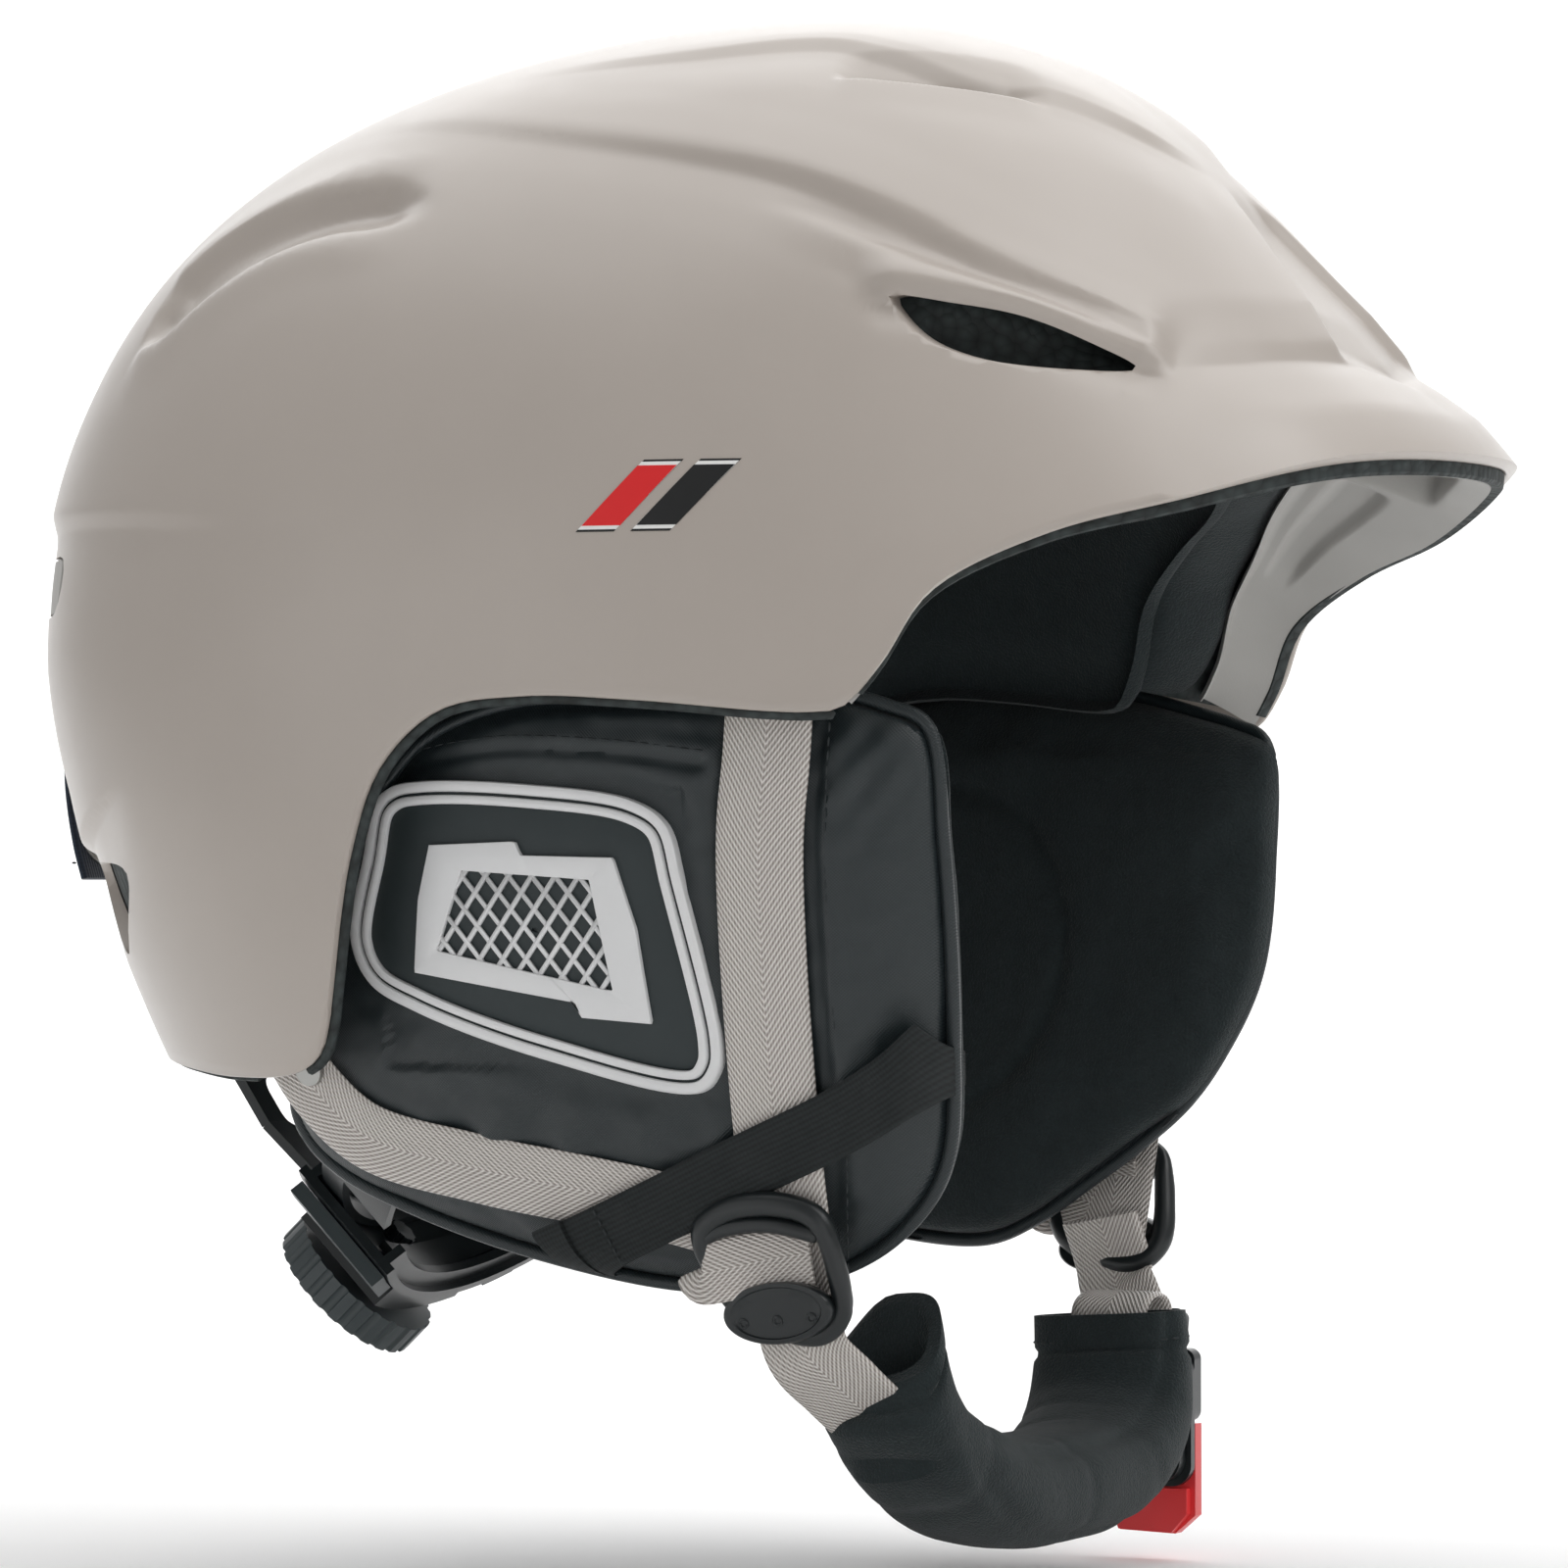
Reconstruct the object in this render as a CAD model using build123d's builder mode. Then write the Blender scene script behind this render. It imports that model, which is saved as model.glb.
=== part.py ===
from build123d import *
import os
from math import cos, radians, sin

# Ski helmet with ear pads, chin strap and dial-fit cradle.
# Millimetres, +Z up, the wearer faces -Y, mirror plane X = 0 (+X is the wearer's left).
# The origin is the midpoint of the wearer's ear line.

os.makedirs("parts", exist_ok=True)

# ---------------------------------------------------------------- driving dimensions
SHELL_HALF_WIDTH = 111.0      # at the ear line
SHELL_T = 1.8                 # moulded outer shell
SKIN_GAP = 0.3                # gap between stacked layers
EPS_LIP = 4.0                 # foam edge left showing between the shell and the visor trim
HEAD_HALF_WIDTH = 84.0        # bare foam cavity, before padding
HEAD_HALF_LENGTH = 103.0
HEAD_TOP_Z = 105.0
HEAD_CENTRE_Y = 5.0
HEAD_EQUATOR_Z = -5.0
LINER_T = 5.0                 # comfort liner
PAD_T = 16.0                  # ear pad
WEB_W = 15.0                  # polyester webbing
WEB_T = 1.3
POLE_Y, POLE_Z = 5.0, -25.0   # all lengthwise sections shrink towards this point
SIDE_N, SIDE_M = 0.92, 0.90   # squareness of the sides

# nape dial, all in the frame of its curved cradle
DIAL_TILT = 43.8              # the cradle faces rearward and this far down
ARC_Y, ARC_Z = 38.4, -49.2    # centre of the cradle's curve
ARC_R = 62.0
BAND_T = 1.6
PINION_R = 2.8
DIAL_R = 15.5

# chin strap pivots (x is mirrored for the other side)
PIVOT_X = 76.0
PIVOT_Z_RIGHT = -105.5
PIVOT_Z_LEFT = -100.5

PROFILE = [(128.7, -25), (140.6, 31.2), (118.1, 88.1), (65.3, 120.5), (5, 130.6), (-55.2, 120.4),
           (-100.4, 80.4), (-140, 35), (-151, -25), (-133.7, -82.4), (-94.5, -124.5),
           (-44.7, -145.1), (5, -144.7), (47.8, -128.4), (81.9, -101.9), (108.2, -67.8)]

# lower rim seen from the side: brow, temple corner, ear cut-out, rear lobe, nape
RIM_BROW = [(-137, 49.5), (-122, 48), (-100, 40.4), (-81, 34.3), (-64, 24.4), (-57, 12), (-51, 4.6)]
RIM_EAR = [(-51, 4.6), (-38, 4.2), (-15, 6.2), (6, 7), (22, 4.6), (33, -5), (39, -20), (44, -42),
           (47, -54)]
RIM_REAR = [(47, -54), (55, -58), (72, -59), (90, -57.8), (112, -56)]

# ear pad seen from the side
PAD_TOP = [(-58.5, 1.4), (-44, 6.9), (-22, 12), (10, 12), (30, 5), (45, -12), (54, -32),
           (60, -50), (66, -65)]
PAD_LOW = [(66, -65), (60, -74), (44, -82), (20, -89.5), (-8, -94.5), (-30, -93), (-45, -86.5),
           (-56, -74), (-60, -50), (-60.5, -18), (-58.5, 1.4)]

BADGE_OUT = [(37, -8.5), (8, -8.2), (-12.5, -11), (-19, -25), (-23.2, -52), (-20, -60.5),
             (8, -55.5), (36, -46), (46, -35)]
BADGE_IN = [(33.5, -12.5), (8, -12), (-9.5, -14.4), (-15, -27), (-18.8, -52), (-16.5, -56.8),
            (8, -51.6), (34, -42.5), (41, -33)]


# ---------------------------------------------------------------- helpers
def save(part, name):
    part.label = name
    export_step(part, f"parts/{name}.step")


def dome(inset):
    """The helmet's body, inset all round, as a loft of lengthwise sections."""
    k = 1 - inset / 131.0
    with BuildPart() as body:
        for b in (-85, -78, -67, -53, -37, -19, 0, 19, 37, 53, 67, 78, 85):
            s = sin(radians(b))
            x = (SHELL_HALF_WIDTH - inset) * (abs(s) ** SIDE_N) * (1 if s >= 0 else -1)
            q = k * cos(radians(b)) ** SIDE_M
            pts = [(POLE_Y + q * (y - POLE_Y), POLE_Z + q * (z - POLE_Z)) for y, z in PROFILE]
            with BuildSketch(Plane.YZ.offset(x)):
                with BuildLine():
                    Spline(*pts, periodic=True)
                make_face()
        loft()
    return body.part


def cavity(inset):
    """The head space: half an ellipsoid over a straight skirt."""
    a, b, c = HEAD_HALF_WIDTH - inset, HEAD_HALF_LENGTH - inset, HEAD_TOP_Z - HEAD_EQUATOR_Z - inset
    ball = scale(Solid.make_sphere(1.0), by=(a, b, c))
    with BuildPart() as body:
        add(ball.moved(Location((0, HEAD_CENTRE_Y, HEAD_EQUATOR_Z))))
        with BuildSketch(Plane.XY.offset(HEAD_EQUATOR_Z - 130)):
            with Locations((0, HEAD_CENTRE_Y)):
                Ellipse(a, b)
        extrude(amount=130)
    return body.part


def above_rim(lift):
    """Everything above the lower rim raised by lift, as a prism across the helmet."""
    with BuildPart() as body:
        with BuildSketch(Plane.YZ.offset(-130)):
            with BuildLine():
                Spline(*[(y, z + lift) for y, z in RIM_BROW])
                Spline(*[(y, z + lift) for y, z in RIM_EAR])
                Spline(*[(y, z + lift) for y, z in RIM_REAR])
                Polyline((112, -56 + lift), (160, -56 + lift), (160, 160), (-170, 160),
                         (-170, 49.5 + lift), (-137, 49.5 + lift))
            make_face()
        extrude(amount=260)
    return body.part


def side_prism(points, x0, x1, smooth=True):
    """A side-view outline (y, z) pulled across from x0 to x1."""
    with BuildPart() as body:
        with BuildSketch(Plane.YZ.offset(min(x0, x1))):
            with BuildLine():
                if smooth:
                    Spline(*points, periodic=True)
                else:
                    Polyline(*points, close=True)
            make_face()
        extrude(amount=abs(x1 - x0))
    return body.part


def pad_prism(grow=0.0):
    """The ear pad's outline across the whole helmet, scaled out by about grow."""
    k = 1 + grow / 52.0
    fit = [[(3 + k * (y - 3), -42 + k * (z + 42)) for y, z in run] for run in (PAD_TOP, PAD_LOW)]
    with BuildPart() as body:
        with BuildSketch(Plane.YZ.offset(-130)):
            with BuildLine():
                Spline(*fit[0])
                Spline(*fit[1])
            make_face()
        extrude(amount=260)
    return body.part


def pad_x(y, z):
    """Outer face of the ear pad at a side-view point: it curves in below and towards both ends."""
    return 99 - (0.00175 * (z - 20) ** 2 if z < 20 else 0) - 0.0015 * (y - 5) ** 2


def pad_layer(side, s0, s1, z0=-112, z1=20):
    """A curved sheet lying s0 to s1 outside the ear pad's outer face; side is -1 right, +1 left."""
    zs = [z1 + (z0 - z1) * i / 4 for i in range(5)]
    with BuildPart() as body:
        for y in (-75, -35, 5, 40, 75):
            with BuildSketch(Plane.XZ.offset(-y)):
                with BuildLine():
                    Spline(*[(side * (pad_x(y, z) + s0), z) for z in zs])
                    Spline(*[(side * (pad_x(y, z) + s1), z) for z in zs])
                    Line((side * (pad_x(y, z0) + s0), z0), (side * (pad_x(y, z0) + s1), z0))
                    Line((side * (pad_x(y, z1) + s0), z1), (side * (pad_x(y, z1) + s1), z1))
                make_face()
        loft()
    return body.part


def on_pad(side, s0, s1, points, smooth=False):
    """A sheet on the ear pad's outer face with the given side-view outline."""
    with BuildPart() as body:
        add(pad_layer(side, s0, s1))
        add(side_prism(points, side * 40, side * 130, smooth), mode=Mode.INTERSECT)
    return body.part


def plate(points, width_dir, width, thick):
    """Flat webbing or plate along a chain of points, its width along width_dir."""
    w = Vector(*width_dir).normalized()
    with BuildPart() as body:
        for a, b in zip(points, points[1:]):
            a, b = Vector(*a), Vector(*b)
            run = (b - a).normalized()
            across = (w - run * w.dot(run)).normalized()
            with BuildSketch(Plane(origin=a, x_dir=across, z_dir=run)):
                Rectangle(width, thick)
            extrude(amount=(b - a).length)
    return body.part


def cradle_plane(r, height=0.0):
    """Plane facing out of the cradle's middle at radius r, its y pointing up the cradle."""
    n = Vector(0, cos(radians(DIAL_TILT)), -sin(radians(DIAL_TILT)))
    up = Vector(0, sin(radians(DIAL_TILT)), cos(radians(DIAL_TILT)))
    return Plane(origin=Vector(0, ARC_Y, ARC_Z) + n * r + up * height, x_dir=(-1, 0, 0), z_dir=n)


def arc_strip(r0, r1, a0, a1, h0, h1):
    """Part of a ring about the cradle's curve, a0 to a1 degrees towards +X, h0 to h1 up it."""
    up = Vector(0, sin(radians(DIAL_TILT)), cos(radians(DIAL_TILT)))
    base = Plane(origin=Vector(0, ARC_Y, ARC_Z) + up * h0, x_dir=(1, 0, 0), z_dir=up)

    def at(r, a):
        return (r * sin(radians(a)), r * cos(radians(a)))

    mid = (a0 + a1) / 2
    with BuildPart() as body:
        with BuildSketch(base):
            with BuildLine():
                ThreePointArc(at(r1, a0), at(r1, mid), at(r1, a1))
                Line(at(r1, a1), at(r0, a1))
                ThreePointArc(at(r0, a1), at(r0, mid), at(r0, a0))
                Line(at(r0, a0), at(r1, a0))
            make_face()
        extrude(amount=h1 - h0)
    return body.part


# ---------------------------------------------------------------- outer shell
VENT = [(-50, 74.7), (-60, 73.6), (-71, 71.3), (-81.6, 66.6), (-88, 62.6), (-78.5, 62.2),
        (-65, 64), (-57, 67.2), (-52, 71.6)]

body_outer = dome(0)
body_inner = dome(SHELL_T)
rim_prism = above_rim(0)

with BuildPart() as outer_shell:
    add(body_outer)
    add(body_inner, mode=Mode.SUBTRACT)
    add(rim_prism, mode=Mode.INTERSECT)
    for side in (-1, 1):
        # long side intake over each brow
        add(side_prism(VENT, side * 40, side * 125), mode=Mode.SUBTRACT)
        # slit intake beside the crown
        with BuildSketch(Plane.XY.offset(95)):
            with BuildLine():
                Polyline((side * 50, -27), (side * 46, -41), (side * 33, -60), (side * 30.5, -58),
                         (side * 43, -40), (side * 47.5, -27), close=True)
            make_face()
        extrude(amount=45, mode=Mode.SUBTRACT)
        # rear exhaust
        with BuildSketch(Plane.XZ.offset(-90)):
            with BuildLine():
                Polyline((side * 22, -24), (side * 76, -24), (side * 76, -30), (side * 64, -38),
                         (side * 22, -36), close=True)
            make_face()
        extrude(amount=-60, mode=Mode.SUBTRACT)
    # wide slot for the goggle-strap anchor
    with BuildSketch(Plane.XZ.offset(-90)):
        with Locations((0, 28.5)):
            RectangleRounded(126, 10.5, 3)
    extrude(amount=-60, mode=Mode.SUBTRACT)
save(outer_shell.part, "outer_shell")

# ---------------------------------------------------------------- foam liner
head = cavity(0)
trim_top = above_rim(3.6)

with BuildPart() as trim_pocket:
    add(dome(SHELL_T + SKIN_GAP + EPS_LIP))
    with BuildSketch(Plane.YZ.offset(-130)):
        with BuildLine():
            Spline(*[(y, z - 6) for y, z in RIM_BROW])
            Spline(*[(y, z + 3.6) for y, z in RIM_BROW])
            Line((-51, -1.4), (-51, 8.2))
            Line((-137, 43.5), (-137, 53.1))
        make_face()
    extrude(amount=260, mode=Mode.INTERSECT)

pad_space = {}
for side in (-1, 1):
    with BuildPart() as space:
        add(pad_layer(side, -PAD_T - 3.5, 4.2))
        add(pad_prism(0.8), mode=Mode.INTERSECT)
    pad_space[side] = space.part

with BuildPart() as eps_liner:
    add(dome(SHELL_T + SKIN_GAP))
    for side in (-1, 1):
        # blind intake behind each side opening
        add(side_prism(VENT, side * 66, side * 118), mode=Mode.SUBTRACT)
        # blind exhaust pockets
        with BuildSketch(Plane.XZ.offset(-104)):
            with Locations((side * 46, -30)):
                Rectangle(40, 10)
        extrude(amount=-40, mode=Mode.SUBTRACT)
    # seat of the goggle-strap anchor
    with BuildSketch(Plane.XZ.offset(-90)):
        with Locations((0, 28.5)):
            RectangleRounded(126, 10.5, 3)
    extrude(amount=-60, mode=Mode.SUBTRACT)
    add(head, mode=Mode.SUBTRACT)
    add(above_rim(1.0), mode=Mode.INTERSECT)
    add(trim_pocket.part, mode=Mode.SUBTRACT)
    for side in (-1, 1):
        add(pad_space[side], mode=Mode.SUBTRACT)
save(eps_liner.part, "eps_liner")

# ---------------------------------------------------------------- trim under the visor
with BuildPart() as visor_trim:
    add(dome(SHELL_T + SKIN_GAP + EPS_LIP + 0.4))
    with BuildSketch(Plane.YZ.offset(-130)):
        with BuildLine():
            Spline(*[(y, z + 0.8) for y, z in RIM_BROW])
            Spline(*[(y, z + 3.2) for y, z in RIM_BROW])
            Line((-51, 5.4), (-51, 7.8))
            Line((-137, 50.3), (-137, 52.7))
        make_face()
    extrude(amount=260, mode=Mode.INTERSECT)
    add(head, mode=Mode.SUBTRACT)
    with BuildSketch(Plane.XY.offset(30)):
        for i in range(-1, 2):
            with Locations((34 * i, -119 + 3.5 * abs(i))):
                RectangleRounded(22, 9, 3)
    extrude(amount=40, mode=Mode.SUBTRACT)
save(visor_trim.part, "visor_trim")

# ---------------------------------------------------------------- rear slot, goggle-strap retainer
with BuildPart() as goggle_anchor:
    add(dome(SHELL_T * 0.5))
    add(dome(6.5), mode=Mode.SUBTRACT)
    with BuildSketch(Plane.XZ.offset(-90)):
        with Locations((0, 28.5)):
            RectangleRounded(125.2, 9.7, 2.6)
        with Locations((0, 28.5)):
            Rectangle(19, 12, mode=Mode.SUBTRACT)
    extrude(amount=-60, mode=Mode.INTERSECT)
    # hinge blocks and pin for the retainer
    for side in (-1, 1):
        with BuildSketch(Plane.YZ.offset(side * 11 - 1.2)):
            with Locations((139.5, 28.5)):
                RectangleRounded(9, 9, 2)
        extrude(amount=2.4)
    with BuildSketch(Plane.YZ.offset(-11)):
        with Locations((141.0, 28.5)):
            Circle(1.5)
    extrude(amount=22)
save(goggle_anchor.part, "goggle_strap_anchor")

with BuildPart() as goggle_strap:
    with BuildSketch(Plane.YZ.offset(-8)):
        with BuildLine():
            Spline((142.8, 27.5), (148.6, 8), (146.0, -14), (138.4, -25))
            Line((138.4, -25), (137.2, -23.6))
            Spline((137.2, -23.6), (144.2, -13), (146.6, 8), (141.2, 25.3))
            Line((141.2, 25.3), (142.8, 27.5))
        make_face()
    extrude(amount=16)
    with BuildSketch(Plane.YZ.offset(-8)):
        with Locations((141.0, 28.5)):
            Circle(3.2)
            Circle(1.56, mode=Mode.SUBTRACT)
    extrude(amount=16)
    with BuildSketch(Plane.YZ.offset(-9)):
        with Locations((141.0, 28.5)):
            Circle(1.56)
    extrude(amount=18, mode=Mode.SUBTRACT)
save(goggle_strap.part, "goggle_strap")

SNAP = Plane(origin=(0, 143.6, -15.6), x_dir=(1, 0, 0), z_dir=(0, 0.95, -0.31))
with BuildPart() as goggle_snap:
    with BuildSketch(SNAP.offset(1.9)):
        Circle(5.5)
    extrude(amount=1.4)
    fillet(goggle_snap.edges().group_by(SortBy.LENGTH)[-1], 0.5)
save(goggle_snap.part, "goggle_strap_snap")

with BuildPart() as goggle_stud:
    with BuildSketch(SNAP.offset(-12)):
        Circle(5.0)
    extrude(amount=10.2)
    add(dome(-0.3), mode=Mode.SUBTRACT)
save(goggle_stud.part, "goggle_strap_stud")

# ---------------------------------------------------------------- rear vent grilles
for side, tag in ((-1, "right"), (1, "left")):
    with BuildPart() as vent_grille:
        with BuildSketch(Plane.XZ.offset(-105)):
            with Locations((side * 46, -30)):
                Rectangle(39, 9.2)
                with GridLocations(9.4, 1, 4, 1):
                    Rectangle(7.2, 6.4, mode=Mode.SUBTRACT)
        extrude(amount=-40)
        add(dome(6.6), mode=Mode.SUBTRACT)
        add(dome(4.6), mode=Mode.INTERSECT)
    save(vent_grille.part, f"rear_vent_grille_{tag}")

# ---------------------------------------------------------------- comfort liner
liner_out = cavity(0.4)
liner_in = cavity(0.4 + LINER_T)

with BuildPart() as crown_pad:
    add(liner_out)
    add(liner_in, mode=Mode.SUBTRACT)
    add(side_prism([(-14, 12), (-14, 52.5), (-120, 52.5), (-120, 140), (130, 140), (130, -16),
                    (64, -16), (34, 12)], -120, 120, smooth=False), mode=Mode.INTERSECT)
save(crown_pad.part, "crown_pad")

with BuildPart() as brow_pad:
    add(liner_out)
    add(cavity(0.4 + LINER_T + 1.5), mode=Mode.SUBTRACT)
    add(side_prism([(-120, 52), (-120, 47), (-96, 43.5), (-80, 38.5), (-64, 30), (-55, 19),
                    (-48, 12), (-14.5, 12), (-14.5, 52)], -120, 120, smooth=False),
        mode=Mode.INTERSECT)
save(brow_pad.part, "brow_pad")

with BuildPart() as neck_roll:
    with BuildSketch(Plane.XY.offset(-54)):
        with Locations((0, HEAD_CENTRE_Y)):
            Ellipse(HEAD_HALF_WIDTH - 0.4, HEAD_HALF_LENGTH - 0.4)
            Ellipse(HEAD_HALF_WIDTH - 8.4, HEAD_HALF_LENGTH - 8.4, mode=Mode.SUBTRACT)
    extrude(amount=37.4)
    with BuildSketch(Plane.YZ.offset(-100)):
        with BuildLine():
            Polyline((64, -54), (64, -40), (74, -16.6), (130, -16.6), (130, -54), close=True)
        make_face()
    extrude(amount=200, mode=Mode.INTERSECT)
save(neck_roll.part, "neck_roll")

# ---------------------------------------------------------------- ear pads and their badges
GRILLE_OUT = [(27, -19.5), (-3.5, -22), (-10.5, -48.5), (31.5, -37)]
outline_pad = pad_prism(0)
outline_lining = pad_prism(-3)

for side, tag in ((-1, "right"), (1, "left")):
    with BuildPart() as ear_pad:
        add(pad_layer(side, -PAD_T, 0))
        add(outline_pad, mode=Mode.INTERSECT)
    save(ear_pad.part, f"ear_pad_{tag}")

    with BuildPart() as ear_lining:
        add(pad_layer(side, -PAD_T - 2.6, -PAD_T - 0.4))
        add(outline_lining, mode=Mode.INTERSECT)
    save(ear_lining.part, f"ear_pad_lining_{tag}")

    with BuildPart() as badge_ring:
        add(pad_layer(side, 0.4, 3.2))
        add(side_prism(BADGE_OUT, side * 40, side * 130), mode=Mode.INTERSECT)
        add(side_prism(BADGE_IN, side * 40, side * 130), mode=Mode.SUBTRACT)
    save(badge_ring.part, f"ear_badge_ring_{tag}")

    with BuildPart() as badge_panel:
        add(pad_layer(side, 0.4, 1.8))
        add(side_prism([(12 + 0.985 * (y - 12), -34 + 0.985 * (z + 34)) for y, z in BADGE_IN],
                       side * 40, side * 130), mode=Mode.INTERSECT)
    save(badge_panel.part, f"ear_badge_panel_{tag}")

    with BuildPart() as badge_grille:
        add(pad_layer(side, 2.1, 3.4))
        with BuildSketch(Plane.YZ.offset(side * 40 if side > 0 else -130)):
            with BuildLine():
                Polyline(*GRILLE_OUT, close=True)
            make_face()
            with Locations((11.5, -31.5)):
                with GridLocations(5.2, 5.2, 4, 3):
                    Rectangle(3.6, 3.6, rotation=45, mode=Mode.SUBTRACT)
        extrude(amount=90, mode=Mode.INTERSECT)
    save(badge_grille.part, f"ear_badge_grille_{tag}")

# ---------------------------------------------------------------- webbing on the ear pads
for side, tag in ((-1, "right"), (1, "left")):
    lift = 0 if side < 0 else 5
    with BuildPart() as front_strap:
        add(on_pad(side, 0.4, 0.4 + WEB_T,
                   [(-27.5, 9.4), (-42, 5.6), (-40.4, -20), (-39.6, -66), (-38.4, -98 + lift),
                    (-23.8, -98 + lift), (-24.6, -66), (-25.2, -20)]))
    save(front_strap.part, f"front_strap_{tag}")

    with BuildPart() as rear_strap:
        add(on_pad(side, 0.4, 0.4 + WEB_T,
                   [(62.5, -58), (58, -65), (46, -74.5), (28, -81), (6, -86), (-14, -90 + lift),
                    (-22.8, -91 + lift), (-22.8, -79.5 + lift), (-10, -75 + lift), (8, -71),
                    (30, -66.5), (44, -61), (51, -54)]))
    save(rear_strap.part, f"rear_strap_{tag}")

    with BuildPart() as keeper:
        add(on_pad(side, 2.1, 3.3, [(-60.3, -48.5), (-60, -60), (-30, -75.5), (2, -90), (12, -88),
                                    (7, -82), (-24, -66)]))
    save(keeper.part, f"strap_keeper_{tag}")

    # three-bar divider: curved top bar, webbing slot, oval lower plate
    with BuildPart() as divider:
        add(pad_layer(side, 3.7, 6.9))
        with BuildSketch(Plane.YZ.offset(40 if side > 0 else -130)):
            with BuildLine():
                Spline((-12.5, -84 + lift), (-22, -78.6 + lift), (-33, -78 + lift),
                       (-40, -83 + lift), (-42, -93 + lift), (-39, -101.5 + lift),
                       (-30, -104.2 + lift), (-20, -100.5 + lift), (-13.5, -92 + lift),
                       periodic=True)
            make_face()
            with Locations((-27.5, -86.5 + lift)):
                SlotOverall(23, 8, rotation=-5, mode=Mode.SUBTRACT)
        extrude(amount=90, mode=Mode.INTERSECT)
    save(divider.part, f"strap_divider_{tag}")

    # rivets that fix the front and rear webbing under the shell
    with BuildPart() as rivets:
        with BuildSketch(Plane.YZ.offset(40 if side > 0 else -130)):
            with Locations((-34, 6.4), (57, -58)):
                Circle(2.6)
        extrude(amount=90)
        add(pad_layer(side, 1.9, 3.0), mode=Mode.INTERSECT)
    save(rivets.part, f"strap_rivets_{tag}")

# ---------------------------------------------------------------- chin strap, right half
PAD_PATH = [(-57, -36.5, -98), (-56.5, -39, -112), (-43, -42, -127), (0, -43.5, -134.5),
            (36, -43.5, -130), (48.3, -42.5, -119), (48.6, -41, -106.5)]
WEB_PATH = [(-50, -41, -123.4), (-30, -42.5, -130.9), (0, -43.5, -134.5), (36, -43.5, -130),
            (48.3, -42.5, -119), (48.6, -41, -106.5)]
WEB_ENTRY = [(-PIVOT_X, -31.5, PIVOT_Z_RIGHT), (-64, -36.8, -115), (-50, -41, -123.4)]

with BuildPart() as chin_pad:
    with BuildLine() as chin_line:
        Spline(*PAD_PATH)
    with BuildSketch(Plane(origin=chin_line.line @ 0, x_dir=(0, 1, 0), z_dir=chin_line.line % 0)):
        RectangleRounded(27, 17, 7.5)
    sweep()
    with BuildLine() as lumen_line:
        Spline(*WEB_PATH)
    with BuildSketch(Plane(origin=lumen_line.line @ 0, x_dir=(0, 1, 0),
                           z_dir=lumen_line.line % 0)):
        Rectangle(WEB_W + 2, WEB_T + 2.4)
    sweep(mode=Mode.SUBTRACT)
    add(plate(WEB_ENTRY + [(-46, -41.3, -125)], (0, 1, 0), WEB_W + 2, WEB_T + 2.4),
        mode=Mode.SUBTRACT)
save(chin_pad.part, "chin_pad")

with BuildPart() as chin_strap_right:
    with BuildLine() as web_line:
        Spline(*WEB_PATH)
    with BuildSketch(Plane(origin=web_line.line @ 0, x_dir=(0, 1, 0), z_dir=web_line.line % 0)):
        Rectangle(WEB_W, WEB_T)
    sweep()
    add(plate(WEB_ENTRY, (0, 1, 0), WEB_W, WEB_T))
    # the end turns over the pad's mouth and down to the tongue
    add(plate([(48.6, -41, -107), (48.6, -41, -102.0), (60.8, -41.5, -102.0), (60.8, -42, -112.6)],
              (0, 1, 0), WEB_W, WEB_T))
save(chin_strap_right.part, "chin_strap_right")

# ---------------------------------------------------------------- buckle and left half
with BuildPart() as buckle_tongue:
    with BuildSketch(Plane.YZ.offset(59.2)):
        with Locations((-42.5, -124.9)):
            RectangleRounded(17, 24, 4)
        with Locations((-42.5, -129)):
            Circle(3.2, mode=Mode.SUBTRACT)
    extrude(amount=3.1)
save(buckle_tongue.part, "buckle_tongue")

with BuildPart() as buckle_base:
    with BuildSketch(Plane.YZ.offset(62.7)):
        with Locations((-42.5, -125.2)):
            RectangleRounded(19, 25.6, 4)
    extrude(amount=2.0)
    with BuildSketch(Plane.YZ.offset(64.6)):
        with Locations((-42.5, -119.2)):
            RectangleRounded(19, 13.6, 2)
    extrude(amount=3.6)
    # rail for the release
    with BuildSketch(Plane.YZ.offset(64.6)):
        with Locations((-42.5, -131)):
            Rectangle(4, 11)
    extrude(amount=1.5)
save(buckle_base.part, "buckle_base")

with BuildPart() as buckle_release:
    with BuildSketch(Plane.YZ.offset(65.0)):
        with BuildLine():
            Polyline((-52, -126.4), (-33, -126.4), (-33, -139), (-37, -146.5), (-48, -147),
                     (-52, -143.5), close=True)
        make_face()
    extrude(amount=3.4)
    with BuildSketch(Plane.YZ.offset(62.9)):
        with BuildLine():
            Polyline((-51, -138.4), (-34.4, -138.4), (-37.4, -146.2), (-48, -146.6),
                     (-51, -143.2), close=True)
        make_face()
    extrude(amount=3)
    with BuildSketch(Plane.YZ.offset(64.9)):
        with Locations((-42.5, -129)):
            Rectangle(4.6, 16.4)
    extrude(amount=1.6, mode=Mode.SUBTRACT)
    for i in range(3):
        with BuildSketch(Plane.YZ.offset(68.0)):
            with Locations((-42.5, -140.4 + 2.4 * i)):
                Rectangle(11, 1)
        extrude(amount=1, mode=Mode.SUBTRACT)
save(buckle_release.part, "buckle_release")

with BuildPart() as chin_strap_left:
    add(plate([(PIVOT_X, -32, PIVOT_Z_LEFT), (72.1, -34.8, -102.9)], (0, 1, 0), WEB_W, WEB_T))
    # its upper corner is cut level, clear of the divider while it swings
    with Locations((PIVOT_X, -36, PIVOT_Z_LEFT + 10.3)):
        Box(30, 30, 20, mode=Mode.SUBTRACT)
save(chin_strap_left.part, "chin_strap_left")

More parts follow.
